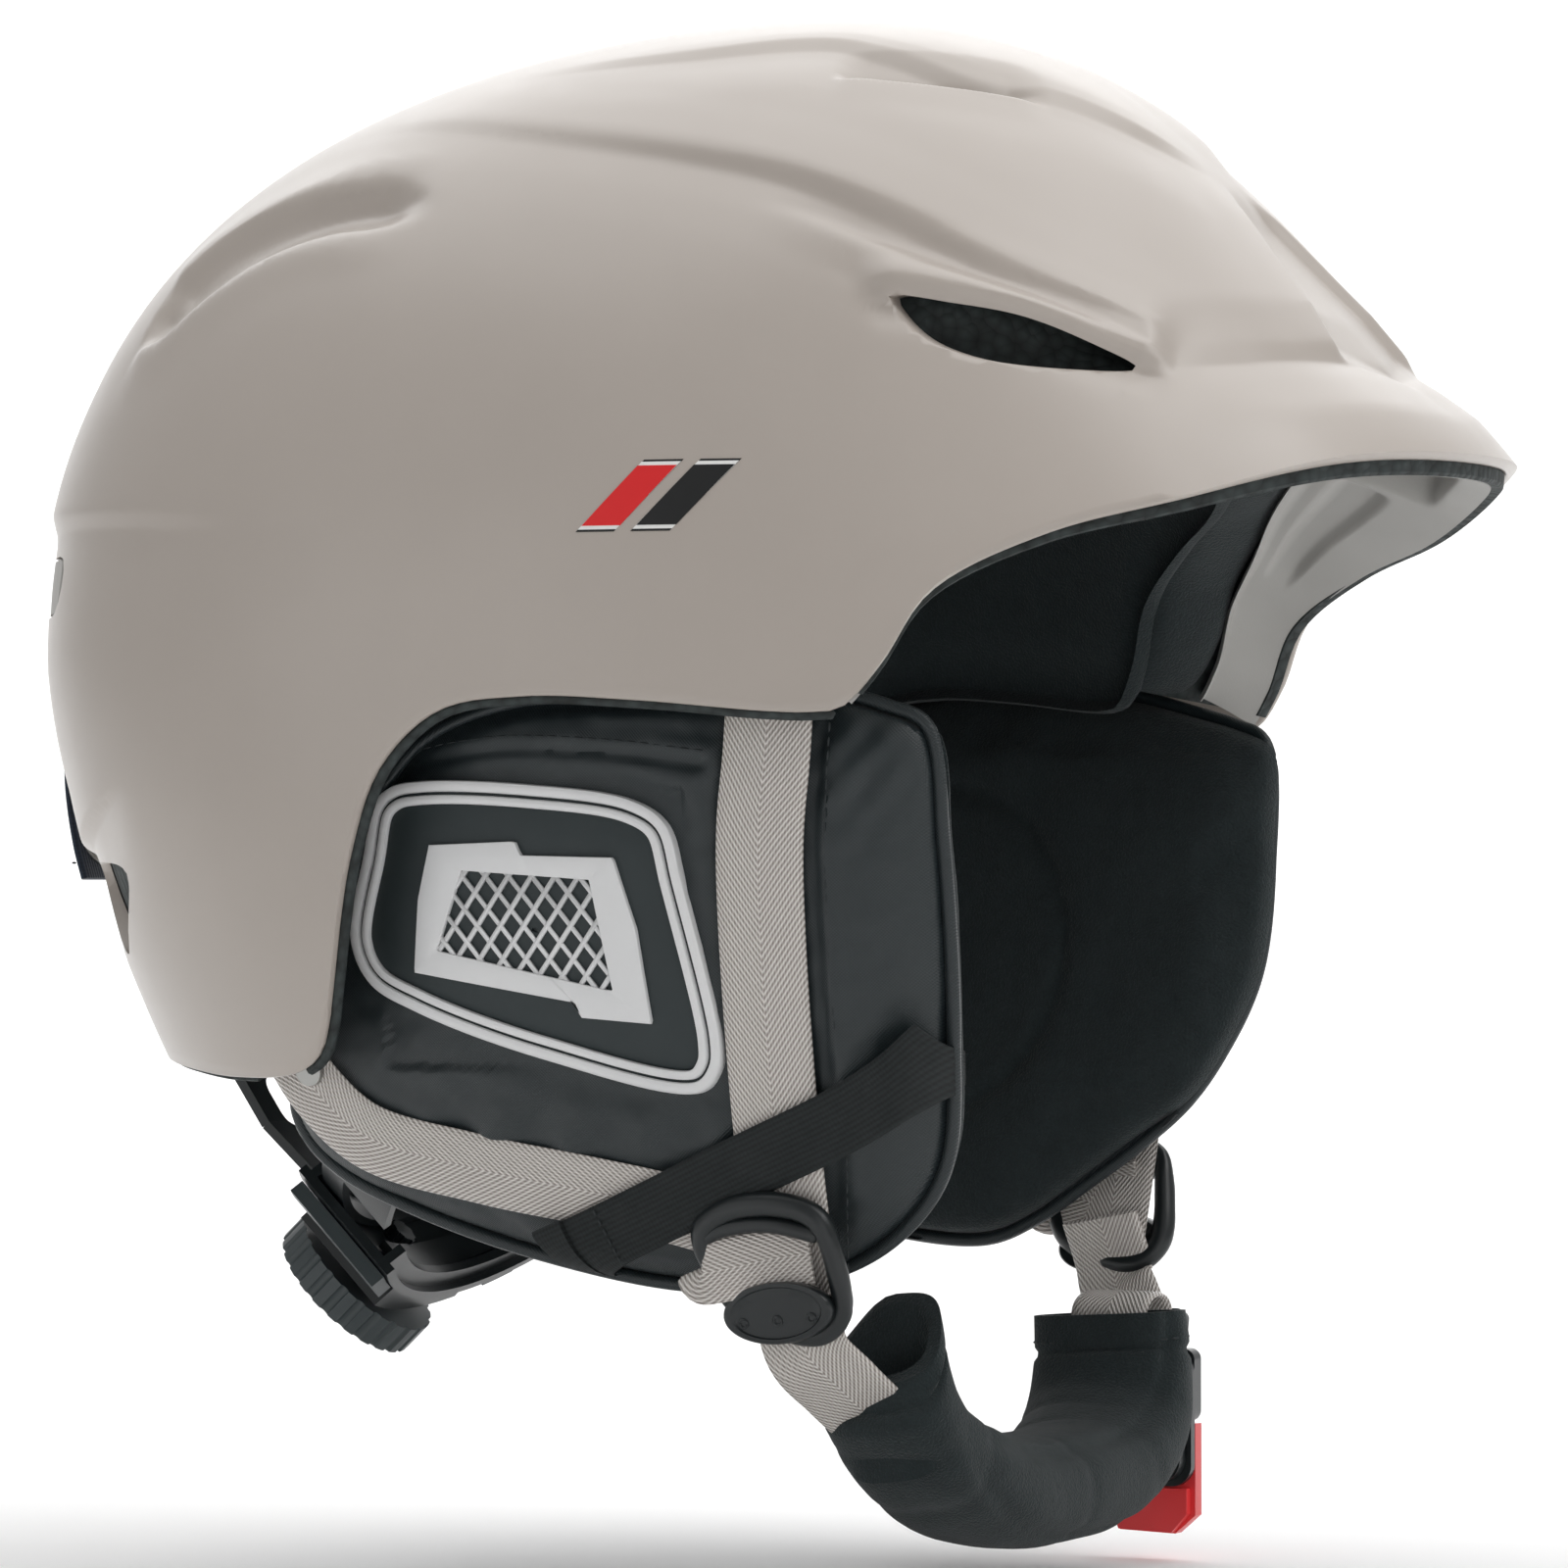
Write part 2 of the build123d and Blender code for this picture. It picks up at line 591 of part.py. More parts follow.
ADJ = Plane(origin=(67.9, -38.6, -108.5), x_dir=(0, 1, 0), z_dir=(0.97, 0, -0.24))
with BuildPart() as strap_adjuster:
    with BuildSketch(ADJ.offset(-1.4)):
        RectangleRounded(21, 6.6, 1.6)
        with Locations((0, 0.2)):
            Rectangle(16, 2.6, mode=Mode.SUBTRACT)
    extrude(amount=2.8)
save(strap_adjuster.part, "strap_adjuster")

# ---------------------------------------------------------------- nape dial system
SPAN = 30                      # half angle of the cradle
with BuildPart() as fit_cradle:
    add(arc_strip(ARC_R - 0.7, ARC_R + 1.1, -SPAN, SPAN, -13, 13))
    # channels that guide the two bands
    for h in (-11.6, 9.8):
        add(arc_strip(ARC_R - 4.4, ARC_R - 0.6, -SPAN, SPAN, h, h + 1.8))
    with BuildSketch(cradle_plane(ARC_R - 3)):
        Circle(3.06)
    extrude(amount=6, mode=Mode.SUBTRACT)
    for side in (-1, 1):
        with BuildSketch(cradle_plane(ARC_R - 6)):
            with Locations((side * 22, 0)):
                SlotOverall(11, 4, rotation=90)
        extrude(amount=9, mode=Mode.SUBTRACT)
save(fit_cradle.part, "fit_cradle")

for side, tag in ((-1, "right"), (1, "left")):
    lo, hi = (2.9, 8.9) if side < 0 else (-8.9, -2.9)
    a_rack = sorted((side * -14, side * 41))
    a_arm = sorted((side * 40, side * 74))
    with BuildPart() as fit_band:
        add(arc_strip(ARC_R - 2.9, ARC_R - 1.3, *a_rack, lo, hi))
        add(arc_strip(ARC_R - 2.9, ARC_R - 1.3, *a_arm, -8.9, 8.9))
        # long openings in the arm
        for a in (48, 60):
            a0, a1 = sorted((side * a, side * (a + 8)))
            add(arc_strip(ARC_R - 4, ARC_R, a0, a1, -3.2, 3.2), mode=Mode.SUBTRACT)
    save(fit_band.part, f"fit_band_{tag}")

with BuildPart() as fit_housing:
    with BuildSketch(cradle_plane(ARC_R + 1.4)):
        RectangleRounded(30, 22, 8)
        Circle(3.06, mode=Mode.SUBTRACT)
    extrude(amount=4.6)
    with BuildSketch(cradle_plane(ARC_R - 1)):
        Circle(40)
        Circle(3.06, mode=Mode.SUBTRACT)
    extrude(amount=8)
    add(arc_strip(ARC_R + 1.4, ARC_R + 6.2, -14.5, 14.5, -11, 11), mode=Mode.INTERSECT)
save(fit_housing.part, "fit_housing")

with BuildPart() as fit_pinion:
    with BuildSketch(cradle_plane(ARC_R - 3.4)):
        Circle(2.5)
        with PolarLocations(2.45, 8):
            Rectangle(0.7, 0.9)
    extrude(amount=2.2)
    with BuildSketch(cradle_plane(ARC_R - 1.3)):
        Circle(3.0)
    extrude(amount=8.3)
save(fit_pinion.part, "fit_pinion")

with BuildPart() as fit_dial:
    with BuildSketch(cradle_plane(ARC_R + 7.2)):
        Circle(DIAL_R)
        with PolarLocations(DIAL_R + 0.5, 24):
            Circle(1.1, mode=Mode.SUBTRACT)
    extrude(amount=6.4)
    fillet(fit_dial.faces().sort_by(Axis((0, 0, 0), cradle_plane(0).z_dir))[-1].edges(), 0.4)
    with BuildSketch(cradle_plane(ARC_R + 12.4)):
        Circle(6)
    extrude(amount=3, mode=Mode.SUBTRACT)
save(fit_dial.part, "fit_dial")

with BuildPart() as fit_screw:
    with BuildSketch(cradle_plane(ARC_R + 12.6)):
        Circle(3.2)
        Rectangle(4.2, 0.9, mode=Mode.SUBTRACT)
        Rectangle(0.9, 4.2, mode=Mode.SUBTRACT)
    extrude(amount=1.3)
save(fit_screw.part, "fit_dial_screw")

# hanger from the foam down to the cradle, with its two grey clips
with BuildPart() as fit_hanger:
    add(plate([(0, 110.6, -56.8), (0, 102, -70), (0, 92.2, -79.2)], (1, 0, 0), 30, 1.8))
    with BuildSketch(Plane.XZ.offset(-116)):
        with Locations((0, -66)):
            RectangleRounded(16, 9, 3)
    extrude(amount=30, mode=Mode.SUBTRACT)
save(fit_hanger.part, "fit_hanger")

for side, tag in ((-1, "right"), (1, "left")):
    with BuildPart() as fit_clip:
        add(arc_strip(ARC_R + 1.4, ARC_R + 4.2, *sorted((side * 19.5, side * 27)), -12, 12))
    save(fit_clip.part, f"fit_clip_{tag}")

    # guide at the end of each band, fixed to the inside of the ear pad
    with BuildPart() as fit_guide:
        a0, a1 = sorted((side * 64, side * 69))
        add(arc_strip(ARC_R - 4.6, ARC_R + 0.4, a0, a1, -10.9, 10.9))
        add(arc_strip(ARC_R - 3.2, ARC_R - 1.0, a0, a1, -9.2, 9.2), mode=Mode.SUBTRACT)
        # tab sewn to the ear pad's inner face
        add(arc_strip(ARC_R + 0.3, ARC_R + 5.0, a0 + 1.5, a1 - 1.5, -6, 6))
    save(fit_guide.part, f"fit_guide_{tag}")

# ---------------------------------------------------------------- side marks
for side, tag in ((-1, "right"), (1, "left")):
    with BuildPart() as side_mark:
        add(dome(-0.5))
        add(dome(-0.1), mode=Mode.SUBTRACT)
        with BuildSketch(Plane.YZ.offset(60 if side > 0 else -125)):
            with BuildLine():
                Polyline((-3, 35.5), (-11, 45), (-29, 45.5), (-24.5, 40), (-28, 34.5), close=True)
            make_face()
        extrude(amount=65, mode=Mode.INTERSECT)
    save(side_mark.part, f"side_mark_{tag}")
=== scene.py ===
"""Looks of the ski helmet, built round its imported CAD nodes. Every length in the tables is in mm."""

import logging
import math
from collections.abc import Callable, Iterator, Sequence
from contextlib import contextmanager
from dataclasses import dataclass
from enum import Enum

import bmesh
import bpy
import numpy as np
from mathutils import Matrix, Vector
from mathutils.kdtree import KDTree


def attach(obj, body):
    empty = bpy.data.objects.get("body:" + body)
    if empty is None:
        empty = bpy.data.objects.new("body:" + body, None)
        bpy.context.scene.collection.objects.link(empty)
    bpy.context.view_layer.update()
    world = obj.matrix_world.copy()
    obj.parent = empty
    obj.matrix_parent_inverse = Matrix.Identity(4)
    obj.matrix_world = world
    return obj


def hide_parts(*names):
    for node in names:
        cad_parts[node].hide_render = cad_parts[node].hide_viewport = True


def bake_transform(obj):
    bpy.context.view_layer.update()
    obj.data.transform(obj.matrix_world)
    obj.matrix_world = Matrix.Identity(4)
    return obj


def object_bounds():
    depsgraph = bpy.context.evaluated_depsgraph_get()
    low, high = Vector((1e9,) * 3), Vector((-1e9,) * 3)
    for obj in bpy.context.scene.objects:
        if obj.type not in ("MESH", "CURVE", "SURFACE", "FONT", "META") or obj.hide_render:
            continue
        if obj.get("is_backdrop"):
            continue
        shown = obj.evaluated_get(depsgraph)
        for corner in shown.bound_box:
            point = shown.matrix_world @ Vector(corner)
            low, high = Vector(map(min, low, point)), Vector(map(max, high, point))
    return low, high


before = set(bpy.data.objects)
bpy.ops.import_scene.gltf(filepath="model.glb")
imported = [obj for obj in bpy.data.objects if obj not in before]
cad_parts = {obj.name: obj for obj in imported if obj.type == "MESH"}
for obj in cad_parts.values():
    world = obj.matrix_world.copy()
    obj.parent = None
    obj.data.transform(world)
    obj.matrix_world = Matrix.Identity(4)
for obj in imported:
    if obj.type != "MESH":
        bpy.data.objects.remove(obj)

LOG = logging.getLogger("helmet")
MM = 0.001
UP = np.array([0.0, 0.0, 1.0])
FULL = 2 * math.pi
SPAN_POINTS = 24
Array = np.ndarray
Point = tuple[float, float, float]
Outline = Sequence[tuple[float, float]]


# ------------------------------------------------------------------ curves and meshes
def lengths(line: Array) -> Array:
    """Distance along a line to each of its points."""
    return np.concatenate([[0], np.cumsum(np.linalg.norm(np.diff(line, axis=0), axis=1))])


def even(line: Array, count: int, closed: bool) -> Array:
    """count points evenly spaced along a line; for a closed one the last, equal to the first, is left out."""
    run = lengths(line)
    at = np.linspace(0, run[-1], count + closed)[:count]
    return np.stack([np.interp(at, run, line[:, j]) for j in range(line.shape[1])], axis=1)


def spline(points: Sequence[Sequence[float]], count: int, closed: bool = False) -> Array:
    """Points evenly spaced along a smooth curve through the given ones.

    Args: points: the curve's own points. count: how many to return. closed: join the ends.
    Returns: a (count, dimensions) array.
    """
    p = np.asarray(points, float)
    ring = np.vstack([p[-1:], p, p[:2]]) if closed else np.vstack([2 * p[0] - p[1], p, 2 * p[-1] - p[-2]])
    fine = []
    for i in range(1, len(ring) - 2):
        a, b, c, d = ring[i - 1 : i + 3]
        k = [max(np.linalg.norm(v), 1e-6) ** 0.5 for v in (b - a, c - b, d - c)]
        m1 = (c - b) + k[1] * ((b - a) / k[0] - (c - a) / (k[0] + k[1]))
        m2 = (c - b) + k[1] * ((d - c) / k[2] - (d - b) / (k[1] + k[2]))
        t = np.linspace(0, 1, SPAN_POINTS, endpoint=False)[:, None]
        fine.append((2 * t**3 - 3 * t**2 + 1) * b + (t**3 - 2 * t**2 + t) * m1
                    + (3 * t**2 - 2 * t**3) * c + (t**3 - t**2) * m2)
    fine = np.vstack(fine + [ring[-2:-1]])
    return even(fine, count, closed)


def unit(v: Array) -> Array:
    """Rows of v at length one."""
    return v / np.maximum(np.linalg.norm(v, axis=-1, keepdims=True), 1e-9)


def smooth(x: Array, low: float, high: float) -> Array:
    """0 below low, 1 above high, eased between."""
    t = np.clip((x - low) / (high - low), 0, 1)
    return t * t * (3 - 2 * t)


def tangents(line: Array, closed: bool = False) -> Array:
    """Unit direction of a line at each of its points."""
    if closed:
        return unit(np.roll(line, -1, 0) - np.roll(line, 1, 0))
    return unit(np.gradient(line, axis=0))


def near(p: Array, line: Array) -> tuple[Array, Array, Array]:
    """For each point, the distance to a line, the arc length of its foot, and the vector from it.

    Args: p: (n, d) points. line: (m, d) points of the line.
    Returns: distance, arc length and offset arrays.
    """
    seg, run = np.diff(line, axis=0), np.zeros(len(p))
    best, off, start = np.full(len(p), 1e9), np.zeros_like(p), 0.0
    for a, s in zip(line, seg):
        n2 = max(float(s @ s), 1e-12)
        t = np.clip((p - a) @ s / n2, 0, 1)
        d = p - a - t[:, None] * s
        q = np.linalg.norm(d, axis=1)
        hit = q < best
        best, run = np.where(hit, q, best), np.where(hit, start + t * n2**0.5, run)
        off = np.where(hit[:, None], d, off)
        start += n2**0.5
    return best, run, off


def ripple(p: Array, size: float, seed: int, octaves: int = 3) -> Array:
    """Smooth random heights of about -1 to 1 at points, for cloth that never lies quite flat.

    Args: p: (n, 3) points. size: distance between bumps. seed: fixed random seed.
    Returns: (n,) heights.
    """
    rng = np.random.default_rng(seed)
    out = np.zeros(len(p))
    for k in range(octaves):
        for _ in range(5):
            way = rng.normal(size=3)
            way *= 2 * math.pi * 1.7**k / (size * np.linalg.norm(way)) * rng.uniform(0.7, 1.3)
            out += np.sin(p @ way + rng.uniform(0, 6.28)) * 0.45 / 1.8**k
    return np.clip(out / 1.6, -1, 1)


def quads(rows: int, cols: int, wrap: bool, first: int = 0, flip: bool = False) -> list[tuple[int, ...]]:
    """Faces of a grid of rows x cols vertices.

    Args: rows, cols: grid size. wrap: join last column to first. first: first index. flip: turn over.
    Returns: index tuples.
    """
    out = []
    for i in range(rows - 1):
        for j in range(cols if wrap else cols - 1):
            k = (j + 1) % cols
            q = (first + i * cols + j, first + i * cols + k, first + (i + 1) * cols + k, first + (i + 1) * cols + j)
            out.append(q[::-1] if flip else q)
    return out


def bridge(a: int, b: int, n: int) -> list[tuple[int, ...]]:
    """Faces between two rings of n vertices that start at indices a and b."""
    return [(a + j, a + (j + 1) % n, b + (j + 1) % n, b + j) for j in range(n)]


def fan(first: int, n: int, tip: int) -> list[tuple[int, ...]]:
    """Faces from a ring of n vertices to one tip."""
    return [(first + j, first + (j + 1) % n, tip) for j in range(n)]


def caps(rows: int, n: int) -> list[tuple[int, ...]]:
    """Faces closing a tube of rows rings, whose two tips are the vertices after the rings."""
    last = (rows - 1) * n
    return [(n * rows, (j + 1) % n, j) for j in range(n)] \
        + [(n * rows + 1, last + j, last + (j + 1) % n) for j in range(n)]


def band_ends(rows: int, cols: int) -> list[tuple[int, ...]]:
    """Faces closing both ends of a flat band, each row going out over its top and back under it."""
    last, out = (rows - 1) * cols, []
    for j in range(cols // 2 - 1):
        out += [(j + 1, j, cols - 1 - j, cols - 2 - j),
                (last + j, last + j + 1, last + cols - 2 - j, last + cols - 1 - j)]
    return out


@contextmanager
def editing(mesh: bpy.types.Mesh) -> Iterator[bmesh.types.BMesh]:
    """A mesh opened for editing, written back at the end."""
    bm = bmesh.new()
    bm.from_mesh(mesh)
    yield bm
    bm.to_mesh(mesh)
    bm.free()


def linked(name: str, data: bpy.types.ID) -> bpy.types.Object:
    """A new object with this data, in the scene."""
    obj = bpy.data.objects.new(name, data)
    bpy.context.scene.collection.objects.link(obj)
    return obj


def joined(objects: Sequence[bpy.types.Object]) -> bpy.types.Object:
    """The first object with all the others joined into it."""
    with bpy.context.temp_override(active_object=objects[0], selected_editable_objects=objects):
        bpy.ops.object.join()
    return objects[0]


def tree_of(points: Array) -> KDTree:
    """A tree to look up the nearest of these points."""
    tree = KDTree(len(points))
    for i, p in enumerate(points):
        tree.insert(p, i)
    tree.balance()
    return tree


def solid(name: str, verts: Array, faces: Sequence[Sequence[int]], uv: Array | None = None,
          crease: float = 40) -> bpy.types.Object:
    """A mesh object at the origin from points in mm, faces turned outward.

    Args: name: object name. verts: (n, 3). faces: indices. uv: per-vertex map in mm. crease: sharp angle.
    Returns: the new object.
    """
    mesh = bpy.data.meshes.new(name)
    mesh.from_pydata((np.asarray(verts) * MM).tolist(), [], [list(f) for f in faces])
    if uv is not None:
        layer = mesh.uv_layers.new(name="strap")
        index = np.zeros(len(mesh.loops), int)
        mesh.loops.foreach_get("vertex_index", index)
        layer.data.foreach_set("uv", np.asarray(uv, float)[index].ravel())
    with editing(mesh) as bm:
        bmesh.ops.recalc_face_normals(bm, faces=bm.faces)
    return finish_mesh(name, mesh, crease)


def finish_mesh(name: str, mesh: bpy.types.Mesh, crease: float) -> bpy.types.Object:
    """Links a mesh as a smooth-shaded object, sharp where its faces turn by more than crease degrees."""
    obj = linked(name, mesh)
    mesh.shade_smooth()
    mesh.set_sharp_from_angle(angle=math.radians(crease))
    return obj


def apply_all(obj: bpy.types.Object, crease: float = 40) -> None:
    """Bakes an object's modifiers into its mesh."""
    view = bpy.context.evaluated_depsgraph_get()
    mesh = bpy.data.meshes.new_from_object(obj.evaluated_get(view))
    obj.modifiers.clear()
    obj.data = mesh
    mesh.shade_smooth()
    mesh.set_sharp_from_angle(angle=math.radians(crease))


def points_of(mesh: bpy.types.Mesh) -> Array:
    """A mesh's vertices in its own unit."""
    co = np.zeros(len(mesh.vertices) * 3)
    mesh.vertices.foreach_get("co", co)
    return co.reshape(-1, 3)


def coords(obj: bpy.types.Object) -> Array:
    """An object's vertices in mm."""
    return points_of(obj.data) / MM


def place(obj: bpy.types.Object, verts: Array) -> None:
    """Puts an object's vertices at these points in mm."""
    obj.data.vertices.foreach_set("co", (verts * MM).ravel())
    obj.data.update()


def tube(name: str, line: Array, radius: float | Array, sides: int = 10, closed: bool = False,
         flat: float = 1.0) -> bpy.types.Object:
    """A round cord of mesh along a line, with a rounded cap at each open end.

    Args: name: object name. line: (n, 3). radius: mm, or one per point. sides: round count.
        closed: a ring. flat: height of the section over its width.
    Returns: the new object.
    """
    t = tangents(line, closed)
    side = unit(np.cross(t, unit(np.cross(t, [0.13, 0.2, 0.97]))))
    up = np.cross(side, t)
    r = np.broadcast_to(np.asarray(radius, float), (len(line),)).copy()
    a = np.linspace(0, FULL, sides, endpoint=False)
    ring = np.cos(a)[None, :, None] * side[:, None] + flat * np.sin(a)[None, :, None] * up[:, None]
    v = (line[:, None] + r[:, None, None] * ring).reshape(-1, 3)
    n = len(line)
    f = quads(n, sides, True)
    if closed:
        return solid(name, v, f + bridge((n - 1) * sides, 0, sides))
    v = np.vstack([v, line[:1] - t[:1] * r[0] * 0.6, line[-1:] + t[-1:] * r[-1] * 0.6])
    return solid(name, v, f + caps(n, sides), crease=60)


def ribbon(name: str, line: Array, face: Array, width: float | Array, thick: float,
           fit: Callable[[Array], Array] | None = None, across: int = 15) -> bpy.types.Object:
    """Flat webbing along a line, with rounded edges and a map in mm (across, along).

    Args: name: object name. line: (n, 3). face: direction it faces at each point. width: mm.
        thick: mm. fit: moves points onto what the webbing lies on. across: points over the width.
    Returns: the new object.
    """
    t = tangents(line)
    w = unit(np.cross(t, face))
    n = unit(np.cross(w, t))
    half = np.broadcast_to(np.asarray(width, float), (len(line),)) / 2
    u = np.linspace(-1, 1, across)
    edge = thick / 2 * np.sqrt(np.clip(1 - np.abs(u) ** 12, 0.05, 1))
    flatp = line[:, None] + u[None, :, None] * half[:, None, None] * w[:, None]
    if fit is not None:
        flatp = fit(flatp.reshape(-1, 3)).reshape(flatp.shape)
    top = flatp + edge[None, :, None] * n[:, None]
    low = (flatp - edge[None, :, None] * n[:, None])[:, ::-1]
    v = np.concatenate([top, low], axis=1)
    run = lengths(line)
    ux = np.concatenate([u, u[::-1]])[None] * half[:, None]
    uv = np.stack([ux, np.broadcast_to(run[:, None], ux.shape)], -1).reshape(-1, 2)
    cols = 2 * across
    f = quads(len(line), cols, True) + band_ends(len(line), cols)
    return solid(name, v.reshape(-1, 3), f, uv, crease=70)


def star_solid(name: str, outline: Outline, centre: tuple[float, float], front: Callable[[Array, Array], Array],
               back: Callable[[Array, Array], Array], rings: int, around: int,
               crease: float = 45) -> bpy.types.Object:
    """A closed plate or cushion over a side-view outline, its two faces given as x heights.

    Args: name: object name. outline: (y, z). centre: a point that sees the whole outline.
        front, back: x of each face at (yz points, ring fraction 0 to 1). rings, around: grid size.
    Returns: the new object.
    """
    edge = spline(outline, around, True)
    f = np.linspace(0, 1, rings) ** 0.9
    f[-8:] = np.linspace(f[-8], 1, 8) ** 0.8 if rings > 20 else f[-8:]
    yz = (np.asarray(centre) + f[:, None, None] * (edge - centre)[None]).reshape(-1, 2)
    frac = np.repeat(f, around)
    v = np.vstack([np.column_stack([front(yz, frac), yz]), np.column_stack([back(yz, frac), yz])])
    n = rings * around
    faces = quads(rings, around, True) + quads(rings, around, True, n, True)
    faces += bridge(n - around, 2 * n - around, around)
    obj = solid(name, v, faces, crease=crease)
    with editing(obj.data) as bm:
        bmesh.ops.remove_doubles(bm, verts=bm.verts, dist=0.02 * MM)
        bmesh.ops.recalc_face_normals(bm, faces=bm.faces)
    return obj


# ------------------------------------------------------------------ materials
def srgb(code: str) -> tuple[float, float, float, float]:
    """Linear colour of an sRGB hex code."""
    c = [int(code[i : i + 2], 16) / 255 for i in (1, 3, 5)]
    return (*[v / 12.92 if v <= 0.04045 else ((v + 0.055) / 1.055) ** 2.4 for v in c], 1.0)


def add_node(tree: bpy.types.NodeTree, kind: str, settings: dict | None = None,
             links: dict | None = None) -> bpy.types.Node:
    """Adds a node, sets its properties and sockets, and links its inputs.

    Args: tree: where. kind: node type. settings: attribute or input values. links: input to socket.
    Returns: the node.
    """
    made = tree.nodes.new(kind)
    for key, value in (settings or {}).items():
        if isinstance(key, str) and hasattr(made, key):
            setattr(made, key, value)
        else:
            made.inputs[key].default_value = value
    for key, source in (links or {}).items():
        tree.links.new(source, made.inputs[key])
    return made


def maths(tree: bpy.types.NodeTree, operation: str, values: dict, links: dict) -> bpy.types.NodeSocket:
    """The result of one operation on numbers."""
    return add_node(tree, "ShaderNodeMath", {"operation": operation, **values}, links).outputs[0]


class Texture(Enum):
    """What a finish's surface is made of."""

    SATIN = "sprayed lacquer"
    MOULDED = "moulded plastic"
    BEADS = "expanded beads"
    FLEECE = "brushed fleece"
    WOVEN = "plain weave"
    HERRING = "herringbone webbing"
    RIBBED = "ribbed elastic"
    METAL = "turned metal"
    PLAIN = "plain"


@dataclass(frozen=True)
class Finish:
    """A material and how it was made; colours are sRGB hex."""

    name: str
    texture: Texture
    colour: str
    # shade: second colour. A cloud noise mixes it in at random on smooth finishes; on relief textures it is laid into
    # the hollows as painted shade.
    shade: str
    rough: float = 0.5
    sheen: float = 0.0
    coat: float = 0.0
    # Emission strength: painted light, making the part light itself though it is no lamp.
    painted_glow: float = 0.0


# Finishes on relief textures (beads, fleece, weave, ribs, herringbone) take their shade colour in the hollows of the
# relief, which is painted shade; on the other finishes the shade colour is a second tone mixed in at random.
LACQUER = Finish("polycarbonate_satin_lacquer", Texture.SATIN, "#b4aba3", "#aea59d", 0.33, coat=0.35)
FOAM = Finish("expanded_polystyrene_black", Texture.BEADS, "#3a4242", "#121716", 0.72)
TRIM = Finish("moulded_polyamide_grey", Texture.MOULDED, "#b4b2ae", "#9d9b97", 0.5)
BLACK = Finish("moulded_acetal_black", Texture.MOULDED, "#23282a", "#15191a", 0.3)
DIAL = Finish("moulded_polyamide_slate", Texture.MOULDED, "#4c5456", "#363e40", 0.38)
FLEECE = Finish("brushed_polyester_fleece", Texture.FLEECE, "#1e292b", "#0c1314", 0.95, sheen=0.1)
SUEDE = Finish("quilted_polyester_lining", Texture.FLEECE, "#202a2c", "#0d1314", 0.95, sheen=0.1)
NYLON = Finish("coated_nylon_taffeta", Texture.WOVEN, "#252f32", "#131a1c", 0.33, sheen=0.05)
RUBBER = Finish("moulded_rubber_charcoal", Texture.MOULDED, "#283234", "#1d2628", 0.55)
WHITE = Finish("moulded_rubber_white", Texture.MOULDED, "#e6e6e6", "#d9dadb", 0.45)
# The near-white colour on the raised twill is a painted highlight for the webbing's silver sheen, and the darker shade
# in its hollows is painted shade, over a real herringbone pattern.
WEBBING = Finish("herringbone_webbing_painted_highlight", Texture.HERRING, "#f2ede8", "#8b827b", 0.26)
ELASTIC = Finish("ribbed_elastic_black", Texture.RIBBED, "#1b2223", "#0a0e0f", 0.8)
NAVY = Finish("ribbed_elastic_navy", Texture.RIBBED, "#2a3648", "#161e2b", 0.75, sheen=0.1)
STEEL = Finish("nickel_plated_steel", Texture.METAL, "#b9b9b6", "#8e8e8b", 0.28)
# The red release button carries painted light: a faint emission makes it light itself though it is no lamp.
RED = Finish("moulded_polycarbonate_red_painted_light", Texture.MOULDED, "#e23b3e", "#d83234", 0.32, painted_glow=0.04)
THREAD = Finish("bonded_polyester_thread", Texture.PLAIN, "#20282a", "#171d1f", 0.6)
PRINT_RED = Finish("printed_film_red", Texture.PLAIN, "#dd1f22", "#dd1f22", 0.4)
PRINT_BLACK = Finish("printed_film_black", Texture.PLAIN, "#121314", "#121314", 0.4)
PRINT_WHITE = Finish("printed_film_white", Texture.PLAIN, "#eeeeec", "#eeeeec", 0.4)
BACKDROP = Finish("matt_paper_white", Texture.PLAIN, "#fbfbfb", "#fbfbfb", 0.9)


